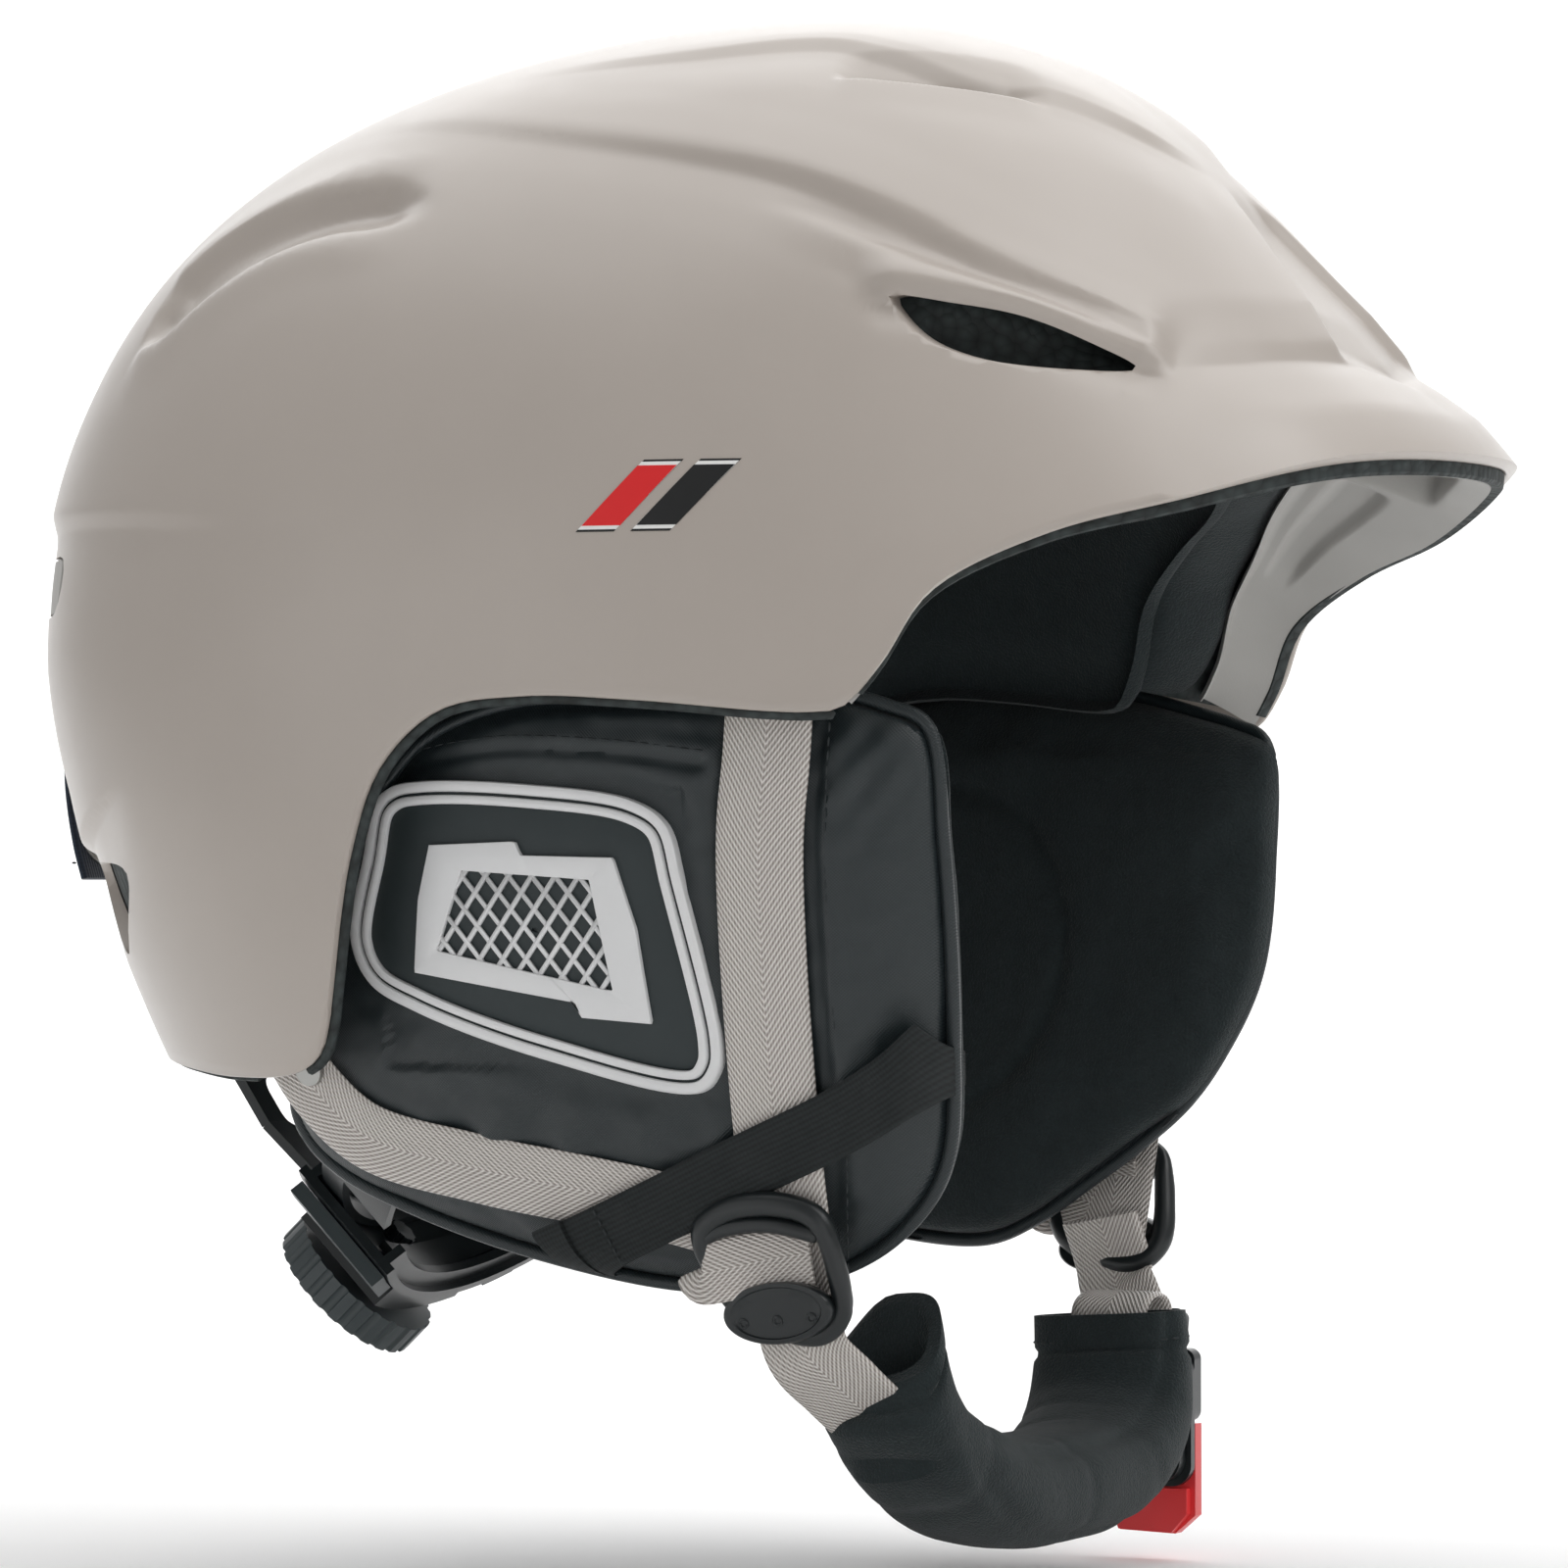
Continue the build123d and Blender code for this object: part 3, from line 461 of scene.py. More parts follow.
class Paint:
    """Builds each finish's procedural material once."""

    made: dict[str, bpy.types.Material] = {}

    @classmethod
    def of(cls, finish: Finish) -> bpy.types.Material:
        """The material of a finish, built the first time it is asked for."""
        if finish.name not in cls.made:
            cls.made[finish.name] = cls._build(finish)
        return cls.made[finish.name]

    @staticmethod
    def _mm(tree: bpy.types.NodeTree) -> bpy.types.NodeSocket:
        """Object coordinates in mm."""
        where = add_node(tree, "ShaderNodeTexCoord")
        return add_node(tree, "ShaderNodeVectorMath", {"operation": "SCALE", "Scale": 1000.0},
                        {0: where.outputs["Object"]}).outputs[0]

    @staticmethod
    def _wave(tree: bpy.types.NodeTree, value: bpy.types.NodeSocket, pitch: float) -> bpy.types.NodeSocket:
        """sin of a length in mm, one turn per pitch."""
        return maths(tree, "SINE", {}, {0: maths(tree, "MULTIPLY", {1: FULL / pitch}, {0: value})})

    @staticmethod
    def _span(tree: bpy.types.NodeTree, value: bpy.types.NodeSocket, low: float, high: float) -> bpy.types.NodeSocket:
        """0 to 1 for a value from low to high."""
        return add_node(tree, "ShaderNodeMapRange", {"From Min": low, "From Max": high}, {0: value}).outputs[0]

    @staticmethod
    def _noise(tree: bpy.types.NodeTree, at: bpy.types.NodeSocket, size: float,
               detail: float = 2.0) -> bpy.types.NodeSocket:
        """Fractal noise with features of about size mm."""
        return add_node(tree, "ShaderNodeTexNoise", {"Scale": 1 / size, "Detail": detail},
                        {"Vector": at}).outputs["Fac"]

    @classmethod
    def _height(cls, tree: bpy.types.NodeTree, finish: Finish) -> tuple[bpy.types.NodeSocket, float, float]:
        """The finish's relief.

        Args: tree: the material's nodes. finish: its finish.
        Returns: height socket 0 to 1, relief in mm, and a weight; from 0.6 up the height, not a cloud noise, mixes in
        the shade colour, painting shade into the relief's hollows.
        """
        at = cls._mm(tree)
        kind = finish.texture
        if kind is Texture.SATIN:
            return cls._noise(tree, at, 0.9, 1), 0.004, 0.25
        if kind is Texture.MOULDED:
            return cls._noise(tree, at, 0.35, 3), 0.02, 0.5
        if kind is Texture.BEADS:
            cells = add_node(tree, "ShaderNodeTexVoronoi", {"feature": "F1", "Scale": 1 / 2.4}, {"Vector": at})
            return maths(tree, "SUBTRACT", {0: 1.0}, {1: cells.outputs["Distance"]}), 0.55, 1.0
        if kind is Texture.FLEECE:
            fine, wide = cls._noise(tree, at, 0.45, 4), cls._noise(tree, at, 3.2, 2)
            return maths(tree, "MULTIPLY_ADD", {1: 0.55}, {0: wide, 2: fine}), 0.4, 1.0
        if kind is Texture.METAL:
            return cls._noise(tree, at, 0.2, 2), 0.004, 0.5
        if kind is Texture.PLAIN:
            return cls._noise(tree, at, 0.4, 2), 0.006, 0.3
        if kind is Texture.WOVEN:
            part = add_node(tree, "ShaderNodeSeparateXYZ", None, {0: at}).outputs
            warp, weft = cls._wave(tree, part["Y"], 0.55), cls._wave(tree, part["Z"], 0.55)
            return cls._span(tree, maths(tree, "MULTIPLY", {}, {0: warp, 1: weft}), -1.0, 1.0), 0.06, 0.6
        flat = add_node(tree, "ShaderNodeUVMap", {"uv_map": "strap"})
        part = add_node(tree, "ShaderNodeSeparateXYZ", None, {0: flat.outputs[0]}).outputs
        if kind is Texture.RIBBED:
            weave = cls._wave(tree, part["X"], 0.9)
            cross = cls._wave(tree, part["Y"], 0.7)
            both = maths(tree, "MULTIPLY_ADD", {1: 0.35}, {0: cross, 2: weave})
            return cls._span(tree, both, -1.35, 1.35), 0.14, 1.0
        zig = maths(tree, "PINGPONG", {1: 7.6}, {0: part["X"]})
        twill = cls._wave(tree, maths(tree, "MULTIPLY_ADD", {1: 1.5}, {0: zig, 2: part["Y"]}), 1.3)
        fine = cls._wave(tree, part["X"], 0.5)
        both = maths(tree, "MULTIPLY_ADD", {1: 0.4}, {0: fine, 2: twill})
        return cls._span(tree, both, -1.4, 1.4), 0.26, 1.0

    @classmethod
    def _build(cls, finish: Finish) -> bpy.types.Material:
        """A principled material with the finish's colour, relief and wear, painted shade in the hollows of relief
        textures, and painted light by emission where the finish asks for it.
        """
        mat = bpy.data.materials.new(finish.name)
        mat.use_nodes = True
        tree = mat.node_tree
        tree.nodes.clear()
        height, relief, weight = cls._height(tree, finish)
        at = cls._mm(tree)
        cloud = cls._noise(tree, at, 28.0, 2)
        # The shade colour comes in by a random cloud on smooth finishes; on relief textures the height lays it into the
        # hollows as painted shade.
        tone_and_hollow_shade = add_node(tree, "ShaderNodeMix", {"data_type": "RGBA", 6: srgb(finish.shade), 7: srgb(finish.colour)},
                           {0: cloud if weight < 0.6 else height})
        # Emission Strength here is painted light on a part that is no lamp; only the red release button has any.
        shader = add_node(tree, "ShaderNodeBsdfPrincipled",
                          {"Roughness": finish.rough, "Metallic": 1.0 if finish.texture is Texture.METAL else 0.0,
                           "Sheen Weight": finish.sheen, "Sheen Roughness": 0.5, "Coat Weight": finish.coat,
                           "Coat Roughness": 0.3, "Emission Strength": finish.painted_glow,
                           "Emission Color": srgb(finish.colour)},
                          {"Base Color": tone_and_hollow_shade.outputs[2]})
        bump = add_node(tree, "ShaderNodeBump", {"Strength": 1.0, "Distance": relief * MM}, {"Height": height})
        worn = {"To Min": finish.rough * 0.9, "To Max": min(1.0, finish.rough * 1.12)}
        rough = add_node(tree, "ShaderNodeMapRange", worn, {0: cls._noise(tree, at, 6.0, 3)})
        tree.links.new(rough.outputs[0], shader.inputs["Roughness"])
        tree.links.new(bump.outputs[0], shader.inputs["Normal"])
        add_node(tree, "ShaderNodeOutputMaterial", None, {0: shader.outputs[0]})
        return mat


def dress(obj: bpy.types.Object, finish: Finish) -> bpy.types.Object:
    """Gives an object one finish, in each material slot it has, or in a new one."""
    mat = Paint.of(finish)
    if obj.material_slots:
        for s in obj.material_slots:
            s.material = mat
    else:
        obj.data.materials.append(mat)
    return obj


# ------------------------------------------------------------------ geometry node trees
class Trees:
    """Geometry Nodes groups for what repeats, each built once and baked to plain mesh."""

    @staticmethod
    def _new(name: str, inputs: dict[str, float | int | None]) -> bpy.types.NodeTree:
        """An empty geometry group with a Geometry socket and named inputs; None stands for a material."""
        tree = bpy.data.node_groups.new(name, "GeometryNodeTree")
        tree.interface.new_socket("Geometry", in_out="INPUT", socket_type="NodeSocketGeometry")
        tree.interface.new_socket("Geometry", in_out="OUTPUT", socket_type="NodeSocketGeometry")
        kinds = {float: "NodeSocketFloat", int: "NodeSocketInt", type(None): "NodeSocketMaterial"}
        for key, value in inputs.items():
            made = tree.interface.new_socket(key, in_out="INPUT", socket_type=kinds[type(value)])
            if value is not None:
                made.default_value = value
        return tree

    @classmethod
    def stitches(cls) -> bpy.types.NodeTree:
        """Thread stitches laid along the input's edges: a capsule every Pitch, turned to the line."""
        if "stitch_run" in bpy.data.node_groups:
            return bpy.data.node_groups["stitch_run"]
        tree = cls._new("stitch_run", {"Pitch": 2.6 * MM, "Length": 1.9 * MM, "Thickness": 0.45 * MM, "Material": None})
        g = add_node(tree, "NodeGroupInput").outputs
        curve = add_node(tree, "GeometryNodeMeshToCurve", None, {0: g["Geometry"]})
        spaced = add_node(tree, "GeometryNodeResampleCurve", {"mode": "LENGTH"},
                          {"Curve": curve.outputs[0], "Length": g["Pitch"]})
        bead = add_node(tree, "GeometryNodeMeshUVSphere", {"Segments": 8, "Rings": 6, "Radius": 0.5})
        way = add_node(tree, "GeometryNodeInputTangent")
        turn = add_node(tree, "FunctionNodeAlignRotationToVector", {"axis": "Z"}, {"Vector": way.outputs[0]})
        size = add_node(tree, "ShaderNodeCombineXYZ", None, {0: g["Thickness"], 1: g["Thickness"], 2: g["Length"]})
        many = add_node(tree, "GeometryNodeInstanceOnPoints", None,
                        {"Points": spaced.outputs[0], "Instance": bead.outputs[0], "Rotation": turn.outputs[0],
                         "Scale": size.outputs[0]})
        real = add_node(tree, "GeometryNodeRealizeInstances", None, {0: many.outputs[0]})
        done = add_node(tree, "GeometryNodeSetMaterial", None, {0: real.outputs[0], "Material": g["Material"]})
        add_node(tree, "NodeGroupOutput", None, {0: done.outputs[0]})
        return tree

    @classmethod
    def lattice(cls) -> bpy.types.NodeTree:
        """Crossed bars over a square: rows of Pitch-spaced bars, turned both ways."""
        if "diamond_lattice" in bpy.data.node_groups:
            return bpy.data.node_groups["diamond_lattice"]
        tree = cls._new("diamond_lattice", {"Pitch": 4 * MM, "Bar": 0.7 * MM, "Depth": 1.0 * MM, "Reach": 60 * MM,
                                            "Count": 15, "Material": None})
        g = add_node(tree, "NodeGroupInput").outputs
        size = add_node(tree, "ShaderNodeCombineXYZ", None, {0: g["Depth"], 1: g["Bar"], 2: g["Reach"]})
        bar = add_node(tree, "GeometryNodeMeshCube", None, {"Size": size.outputs[0]})
        step = add_node(tree, "ShaderNodeCombineXYZ", None, {1: g["Pitch"]})
        row = add_node(tree, "GeometryNodeMeshLine", {"mode": "OFFSET"},
                       {"Count": g["Count"], "Offset": step.outputs[0]})
        back = maths(tree, "MULTIPLY", {}, {0: maths(tree, "SUBTRACT", {1: 1.0}, {0: g["Count"]}), 1: g["Pitch"]})
        shift = add_node(tree, "ShaderNodeCombineXYZ", None, {1: maths(tree, "MULTIPLY", {1: -0.5}, {0: back})})
        mid = add_node(tree, "GeometryNodeTransform", None, {0: row.outputs[0], "Translation": shift.outputs[0]})
        bars = add_node(tree, "GeometryNodeInstanceOnPoints", None,
                        {"Points": mid.outputs[0], "Instance": bar.outputs[0]})
        both = add_node(tree, "GeometryNodeJoinGeometry")
        for angle in (math.radians(38), math.radians(-38)):
            way = add_node(tree, "GeometryNodeTransform", {"Rotation": (angle, 0, 0)}, {0: bars.outputs[0]})
            tree.links.new(way.outputs[0], both.inputs[0])
        real = add_node(tree, "GeometryNodeRealizeInstances", None, {0: both.outputs[0]})
        done = add_node(tree, "GeometryNodeSetMaterial", None, {0: real.outputs[0], "Material": g["Material"]})
        add_node(tree, "NodeGroupOutput", None, {0: done.outputs[0]})
        return tree

    @staticmethod
    def run(obj: bpy.types.Object, tree: bpy.types.NodeTree, values: dict[str, object]) -> bpy.types.Object:
        """Runs a tree on an object with inputs set by name, and keeps the result as plain mesh."""
        made = obj.modifiers.new("nodes", "NODES")
        made.node_group = tree
        for item in tree.interface.items_tree:
            if item.item_type == "SOCKET" and item.in_out == "INPUT" and item.name in values:
                made[item.identifier] = values[item.name]
        apply_all(obj)
        return obj


def stitches(name: str, line: Array, body: str, pitch: float = 2.6, finish: Finish = THREAD,
             thick: float = 0.45) -> bpy.types.Object:
    """A run of stitches along a line.

    Args: name: object name. line: (n, 3). body: CAD body it rides on. pitch, thick: mm. finish: thread.
    Returns: the stitches as one mesh.
    """
    mesh = bpy.data.meshes.new(name)
    mesh.from_pydata((line * MM).tolist(), [(i, i + 1) for i in range(len(line) - 1)], [])
    obj = linked(name, mesh)
    Trees.run(obj, Trees.stitches(), {"Pitch": pitch * MM, "Length": pitch * 0.74 * MM, "Thickness": thick * MM,
                                      "Material": Paint.of(finish)})
    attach(obj, body)
    return obj


# ------------------------------------------------------------------ the helmet's form
CENTRE = np.array([0.0, 5.0, -25.0])
RADII = (123.7, 146.8, 159.9, 157.5, 155.6, 157.4, 149.1, 156.9, 156.0, 150.1, 140.7, 129.9, 119.7, 112.0, 108.7, 111.7)
RIM = ((-137, 49.5), (-122, 48), (-100, 40.4), (-81, 34.3), (-64, 24.4), (-57, 12), (-51, 4.8), (-46, 4.0), (-38, 4.2),
       (-15, 6.2), (6, 7), (22, 4.6), (33, -5), (39, -20), (44, -42), (46.2, -50), (49, -55), (55, -58), (72, -59),
       (90, -57.8), (112, -56))
VENT = ((-50, 74.7), (-60, 73.6), (-71, 71.3), (-81.6, 66.6), (-88, 62.6), (-78.5, 62.2), (-65, 64), (-57, 67.2),
        (-52, 71.6))


@dataclass(frozen=True)
class Dome:
    """The helmet's outer form: a superellipsoid whose side view is a smooth closed profile."""

    half_width: float = 111.0
    side_n: float = 0.92
    side_m: float = 0.90
    mean_radius: float = 131.0

    def profile(self, angle: Array) -> Array:
        """Radius of the side view at an angle from +Y towards +Z, by a periodic cubic through RADII."""
        y = np.array(RADII)
        n = len(y)
        band = 4 * np.eye(n) + np.roll(np.eye(n), 1, 0) + np.roll(np.eye(n), -1, 0)
        k = np.linalg.solve(band, 3 * (np.roll(y, -1) - np.roll(y, 1)))
        u = (angle / (2 * math.pi) * n) % n
        i = np.floor(u).astype(int) % n
        t, j = u - np.floor(u), (i + 1) % n
        return ((2 * t**3 - 3 * t**2 + 1) * y[i] + (t**3 - 2 * t**2 + t) * k[i]
                + (3 * t**2 - 2 * t**3) * y[j] + (t**3 - t**2) * k[j])

    def level(self, p: Array, inset: float | Array = 0.0) -> Array:
        """0 on the surface set in by inset, below 0 within it."""
        d = p - CENTRE
        rho = np.hypot(d[:, 1], d[:, 2])
        r = self.profile(np.arctan2(d[:, 2], d[:, 1])) * (1 - np.asarray(inset) / self.mean_radius)
        wide = self.half_width - np.asarray(inset)
        return (np.abs(d[:, 0]) / wide) ** (2 / self.side_n) + (rho / r) ** (2 / self.side_m) - 1

    def hit(self, way: Array, inset: float | Array = 0.0) -> Array:
        """Where rays from the centre leave the form.

        Args: way: (n, 3) unit directions. inset: mm set in, or one per ray.
        Returns: (n, 3) points.
        """
        low, high = np.full(len(way), 40.0), np.full(len(way), 200.0)
        for _ in range(34):
            mid = (low + high) / 2
            out = self.level(CENTRE + way * mid[:, None], inset) > 0
            low, high = np.where(out, low, mid), np.where(out, mid, high)
        return CENTRE + way * ((low + high) / 2)[:, None]

    def normal(self, p: Array) -> Array:
        """Outward direction of the form at points near it."""
        g = np.zeros_like(p)
        for j in range(3):
            e = np.zeros(3)
            e[j] = 0.6
            g[:, j] = self.level(p + e) - self.level(p - e)
        return unit(g)

    def side_x(self, yz: Array, inset: float = 0.0) -> Array:
        """Half width of the form at side-view points, 0 outside its profile."""
        d = yz - CENTRE[1:]
        r = self.profile(np.arctan2(d[:, 1], d[:, 0])) * (1 - inset / self.mean_radius)
        left = np.clip(1 - (np.hypot(d[:, 0], d[:, 1]) / r) ** (2 / self.side_m), 0, None)
        return (self.half_width - inset) * left ** (self.side_n / 2)

    def rim(self, count: int) -> Array:
        """Unit directions from the centre to count points round the rim, from the visor's tip by the right."""
        side = spline(((-160, 49.5), *RIM, (150, -56)), 3000)
        x = self.side_x(side)
        side, x = side[x > 0], x[x > 0]
        right = np.column_stack([-x, side])
        ends = [np.array([[0, *right[k, 1:]]]) for k in (0, -1)]
        loop = np.vstack([ends[0], right, ends[1], (right * [-1, 1, 1])[::-1]])
        return unit(even(loop, count, True) - CENTRE)


@dataclass(frozen=True)
class Crease:
    """A line pressed into the shell, given on its right side and mirrored.

    profile is height against distance across the line, plus towards the crown, both in mm;
    fade is how far from its start and its end the height takes to come in.
    """

    line: tuple[Point, ...]
    profile: tuple[tuple[float, float], ...]
    fade: tuple[float, float] = (12.0, 8.0)

    def height(self, p: Array, normal: Array) -> Array:
        """Height in mm this crease adds at points on the right side."""
        track = spline(self.line, 60)
        mid, reach = track.mean(0), max(abs(s) for s, _ in self.profile)
        close = np.linalg.norm(p - mid, axis=1) < np.linalg.norm(track - mid, axis=1).max() + reach
        out = np.zeros(len(p))
        dist, run, off = near(p[close], track)
        total = np.linalg.norm(np.diff(track, axis=0), axis=1).sum()
        at, along = np.linspace(0, total, 60), tangents(track)
        way = np.stack([np.interp(run, at, along[:, j]) for j in range(3)], 1)
        sign = np.sign(np.einsum("ij,ij->i", np.cross(normal[close], way), off))
        lift = np.einsum("ij,ij->i", off, normal[close])
        dist = np.sqrt(np.maximum(dist**2 - lift**2, 0))
        s, h = zip(*sorted(self.profile))
        ease = np.linspace(s[0], s[-1], 400)
        rise = np.interp(ease, s, h)
        bell = np.hanning(19)
        rise = np.convolve(np.pad(rise, len(bell) // 2, "edge"), bell / bell.sum(), "valid")
        got = np.interp(dist * sign, ease, rise, left=0, right=0)
        grow = smooth(run, -0.01, max(self.fade[0], 0.02)) if self.fade[0] else 1.0
        end = smooth(total - run, -0.01, max(self.fade[1], 0.02)) if self.fade[1] else 1.0
        out[close] = got * grow * end
        return out


DOME = Dome()
VENT_LIP = Crease(((-85, -43.6, 78.6), (-83, -50, 78.9), (-79, -59, 77.4), (-70, -74, 73.2), (-62, -88, 67.3),
                   (-58, -95, 65)),
                  ((-10, 0), (-6, -0.8), (-4.2, -1.0), (-3.0, 0.0), (-1.2, 1.7), (0.6, 2.5), (2.6, 2.1),
                   (5.5, 1.0), (9, 0.3), (14, 0)),
                  (9, 7))
BAND = Crease(((-35, 83, 107), (-47, 60, 111), (-65, 23, 109), (-72.5, -8, 104), (-75, -28, 100), (-75, -43, 94.5),
               (-74, -55, 89), (-71, -65, 83), (-66, -75, 78), (-60, -85.5, 72.5), (-56, -95, 65.5)),
              ((-18, 0), (-10, -0.3), (-5, -0.7), (-2.2, -0.9), (1.6, 0.85), (3.6, 0.9), (8, 0.5), (16, 0)), (130, 10))
BAND_LOW = Crease(((-79, -22, 95), (-80, -36, 91.5), (-79, -50, 86), (-75.5, -62, 80.5), (-70, -74, 75.5),
                   (-63, -86, 69.5)),
                  ((-9, 0), (-4, 0.5), (-1.6, 0.6), (1.4, -0.5), (3.2, -0.3), (6, 0)), (22, 8))
RIDGE = Crease(((-39, 47, 119), (-43, 4, 123), (-38, -22, 124), (-39, -31, 122), (-38, -49, 117), (-26, -64, 112),
                (-15.5, -74, 106), (-4, -82, 99.5)),
               ((-18, 0), (-6, -0.6), (-2, -0.6), (1.8, 0.7), (6, 0.8), (15, 0.5), (34, 0)), (70, 20))
TOP_VENT = Crease(((-50, -26, 118), (-46, -40, 117), (-39, -52, 115), (-31, -61, 112.6)),
                  ((-9, 0), (-4, 0.5), (-1.8, 0.7), (0.2, -1.8), (1.6, -2.5), (3.6, -1.8), (7, -1.0), (11, 0)), (6, 8))
SCOOP_LOW = Crease(((-61, 105, 72), (-67, 97, 74), (-68, 89, 80), (-69, 77, 87), (-72, 62, 92), (-76, 50, 93.5),
                    (-78, 38.5, 95)),
                   ((-12, 0), (-5, 0.6), (-2, 0.6), (2.4, -1.9), (5.5, -2.5), (10, -1.6), (16, 0)), (5, 18))
SCOOP_HIGH = Crease(((-56, 101, 81), (-56, 92, 89), (-59, 80, 95), (-63.5, 66, 98.5), (-70, 49, 99), (-77, 38.5, 97)),
                    ((-14, 0), (-8, -0.7), (-4, -1.1), (-2, -0.7), (2, 0.7), (4, 0.8), (12, 0)), (5, 18))
LEDGE = Crease(((-0.1, 141, 40.5), (-50, 128, 40), (-79, 103, 40), (-91, 83, 39), (-98, 67.5, 38), (-104, 45, 36.5)),
               ((-26, 0), (-14, -0.8), (-5, -1.3), (-2, -1.1), (1.8, 0.5), (8, 0.4), (25, 0)), (0, 46))
HEEL = Crease(((-0.1, 138, -21), (-51, 120, -19), (-72.5, 106, -13), (-86, 90, -7)),
              ((-22, 0), (-6, -1.6), (-1.2, -1.4), (1, 0.5), (10, 0)), (0, 24))
FRONT_SCOOP = Crease(((-4, -82, 99.5), (-12, -98, 83), (-20, -112.5, 66)),
                     ((-12, 0), (-5, 0.3), (-1, 0.5), (1.6, -1.3), (8, -1.7), (20, -1.6), (30, -1.2)), (12, 6))
BROW = Crease(((-66, -90, 63.5), (-56, -96, 64.5), (-40, -104, 65.3), (-20, -112, 66), (-0.1, -116.5, 65)),
              ((-34, 0), (-24, 0.9), (-13, 0.9), (-4, -0.9), (0, -1.9), (4, -1.0), (14, 0)), (26, 0))
CREASES = (VENT_LIP, BAND, BAND_LOW, RIDGE, TOP_VENT, SCOOP_LOW, SCOOP_HIGH, LEDGE, HEEL, FRONT_SCOOP, BROW)


def shell_point(p: Array) -> Array:
    """Points on the plain form moved out to the shell's finished surface."""
    right = np.column_stack([-np.abs(p[:, 0]), p[:, 1:]])
    n = DOME.normal(right)
    h = sum(c.height(right, n) for c in CREASES)
    n[:, 0] *= np.where(p[:, 0] > 0, -1, 1)
    return p + n * h[:, None]


def slerp(a: Array, b: Array, t: Array) -> Array:
    """Directions turned from each row of a towards b by each share in t, shape (len t, len a, 3)."""
    w = np.arccos(np.clip(a @ b, -1, 1))[None, :, None]
    t = t[:, None, None]
    return (np.sin((1 - t) * w) * a[None] + np.sin(t * w) * b) / np.sin(w)


class Cavity:
    """The head space: half an ellipsoid over a straight elliptical skirt."""

    @staticmethod
    def hit(way: Array, grow: float | Array = 0.0) -> Array:
        """Where rays from the centre meet the head space's wall, grown by grow mm."""
        a, b, c = 84 + np.asarray(grow), 103 + np.asarray(grow), 110 + np.asarray(grow)
        wall = 1 / np.sqrt((way[:, 0] / a) ** 2 + (way[:, 1] / b) ** 2 + 1e-9)
        u = np.column_stack([way[:, 0] / a, way[:, 1] / b, way[:, 2] / c])
        o = -20.0 / c
        q, s = (u**2).sum(1), u[:, 2] * o
        ball = (-s + np.sqrt(np.maximum(s**2 - q * (o**2 - 1), 0))) / q
        t = np.where(CENTRE[2] + way[:, 2] * ball > -5, ball, wall)
        return CENTRE + way * t[:, None]


def cup(name: str, way: Array, way_in: Array, crown: Array, outer: Callable[[Array, Array], Array],
        inner: Callable[[Array, Array], Array], edge: Sequence[Array], steps: int,
        inner_steps: int) -> bpy.types.Object:
    """A closed bowl: an outer and an inner skin joined by edge loops.

    Args: name: object name. way, way_in: rim directions of each skin. crown: top direction.
        outer, inner: (directions, share of the way up) to points. edge: loops between the skins.
        steps, inner_steps: rows.
    Returns: the new object.
    """
    n = len(way)
    t0, t1 = np.linspace(0, 1, steps + 1)[:-1], np.linspace(0, 1, inner_steps + 1)[:-1]
    up, down = slerp(way, crown, t0).reshape(-1, 3), slerp(way_in, crown, t1)[::-1].reshape(-1, 3)
    low = outer(up, np.repeat(t0, n)).reshape(steps, n, 3)[::-1]
    high = inner(down, np.repeat(t1[::-1], n)).reshape(inner_steps, n, 3)[::-1]
    rows = np.concatenate([low, *[e[None] for e in edge], high])
    v = rows.reshape(-1, 3)
    top, under = outer(crown[None], np.ones(1)), inner(crown[None], np.ones(1))
    v = np.vstack([v, top, under])
    f = quads(len(rows), n, True)
    f += [(len(v) - 2, j, (j + 1) % n) for j in range(n)]
    f += [(len(v) - 1, len(v) - 2 - n + (j + 1) % n, len(v) - 2 - n + j) for j in range(n)]
    return solid(name, v, f, crease=38)


def prism(name: str, outline: Sequence[Point], way: Point, deep: float) -> bpy.types.Object:
    """A cutter: a flat outline of 3D points swept along a direction."""
    a = np.asarray(outline, float)
    v, n = np.vstack([a, a + np.asarray(way) * deep]), len(a)
    faces = [tuple(range(n)), tuple(range(2 * n - 1, n - 1, -1))]
    return solid(name, v, faces + bridge(0, n, n))


def cut(obj: bpy.types.Object, cutters: Sequence[bpy.types.Object], crease: float = 38) -> None:
    """Cuts an object with others, which are then removed."""
    for c in cutters:
        made = obj.modifiers.new("cut", "BOOLEAN")
        made.operation, made.object, made.solver = "DIFFERENCE", c, "EXACT"
    apply_all(obj, crease)
    for c in cutters:
        bpy.data.objects.remove(c)


def head_edge(way: Array, crown: Array, rim: Array, rise: float = 7.0) -> Array:
    """Directions in which the head space's wall is rise mm above each rim point."""
    low, high = np.zeros(len(way)), np.full(len(way), 0.6)
    for _ in range(24):
        mid = (low + high) / 2
        w = np.arccos(np.clip(way @ crown, -1, 1))
        turned = (np.sin((1 - mid) * w)[:, None] * way + np.sin(mid * w)[:, None] * crown) / np.sin(w)[:, None]
        under = Cavity.hit(turned, 0.6)[:, 2] < rim[:, 2] + rise
        low, high = np.where(under, mid, low), np.where(under, high, mid)
    return unit(turned)


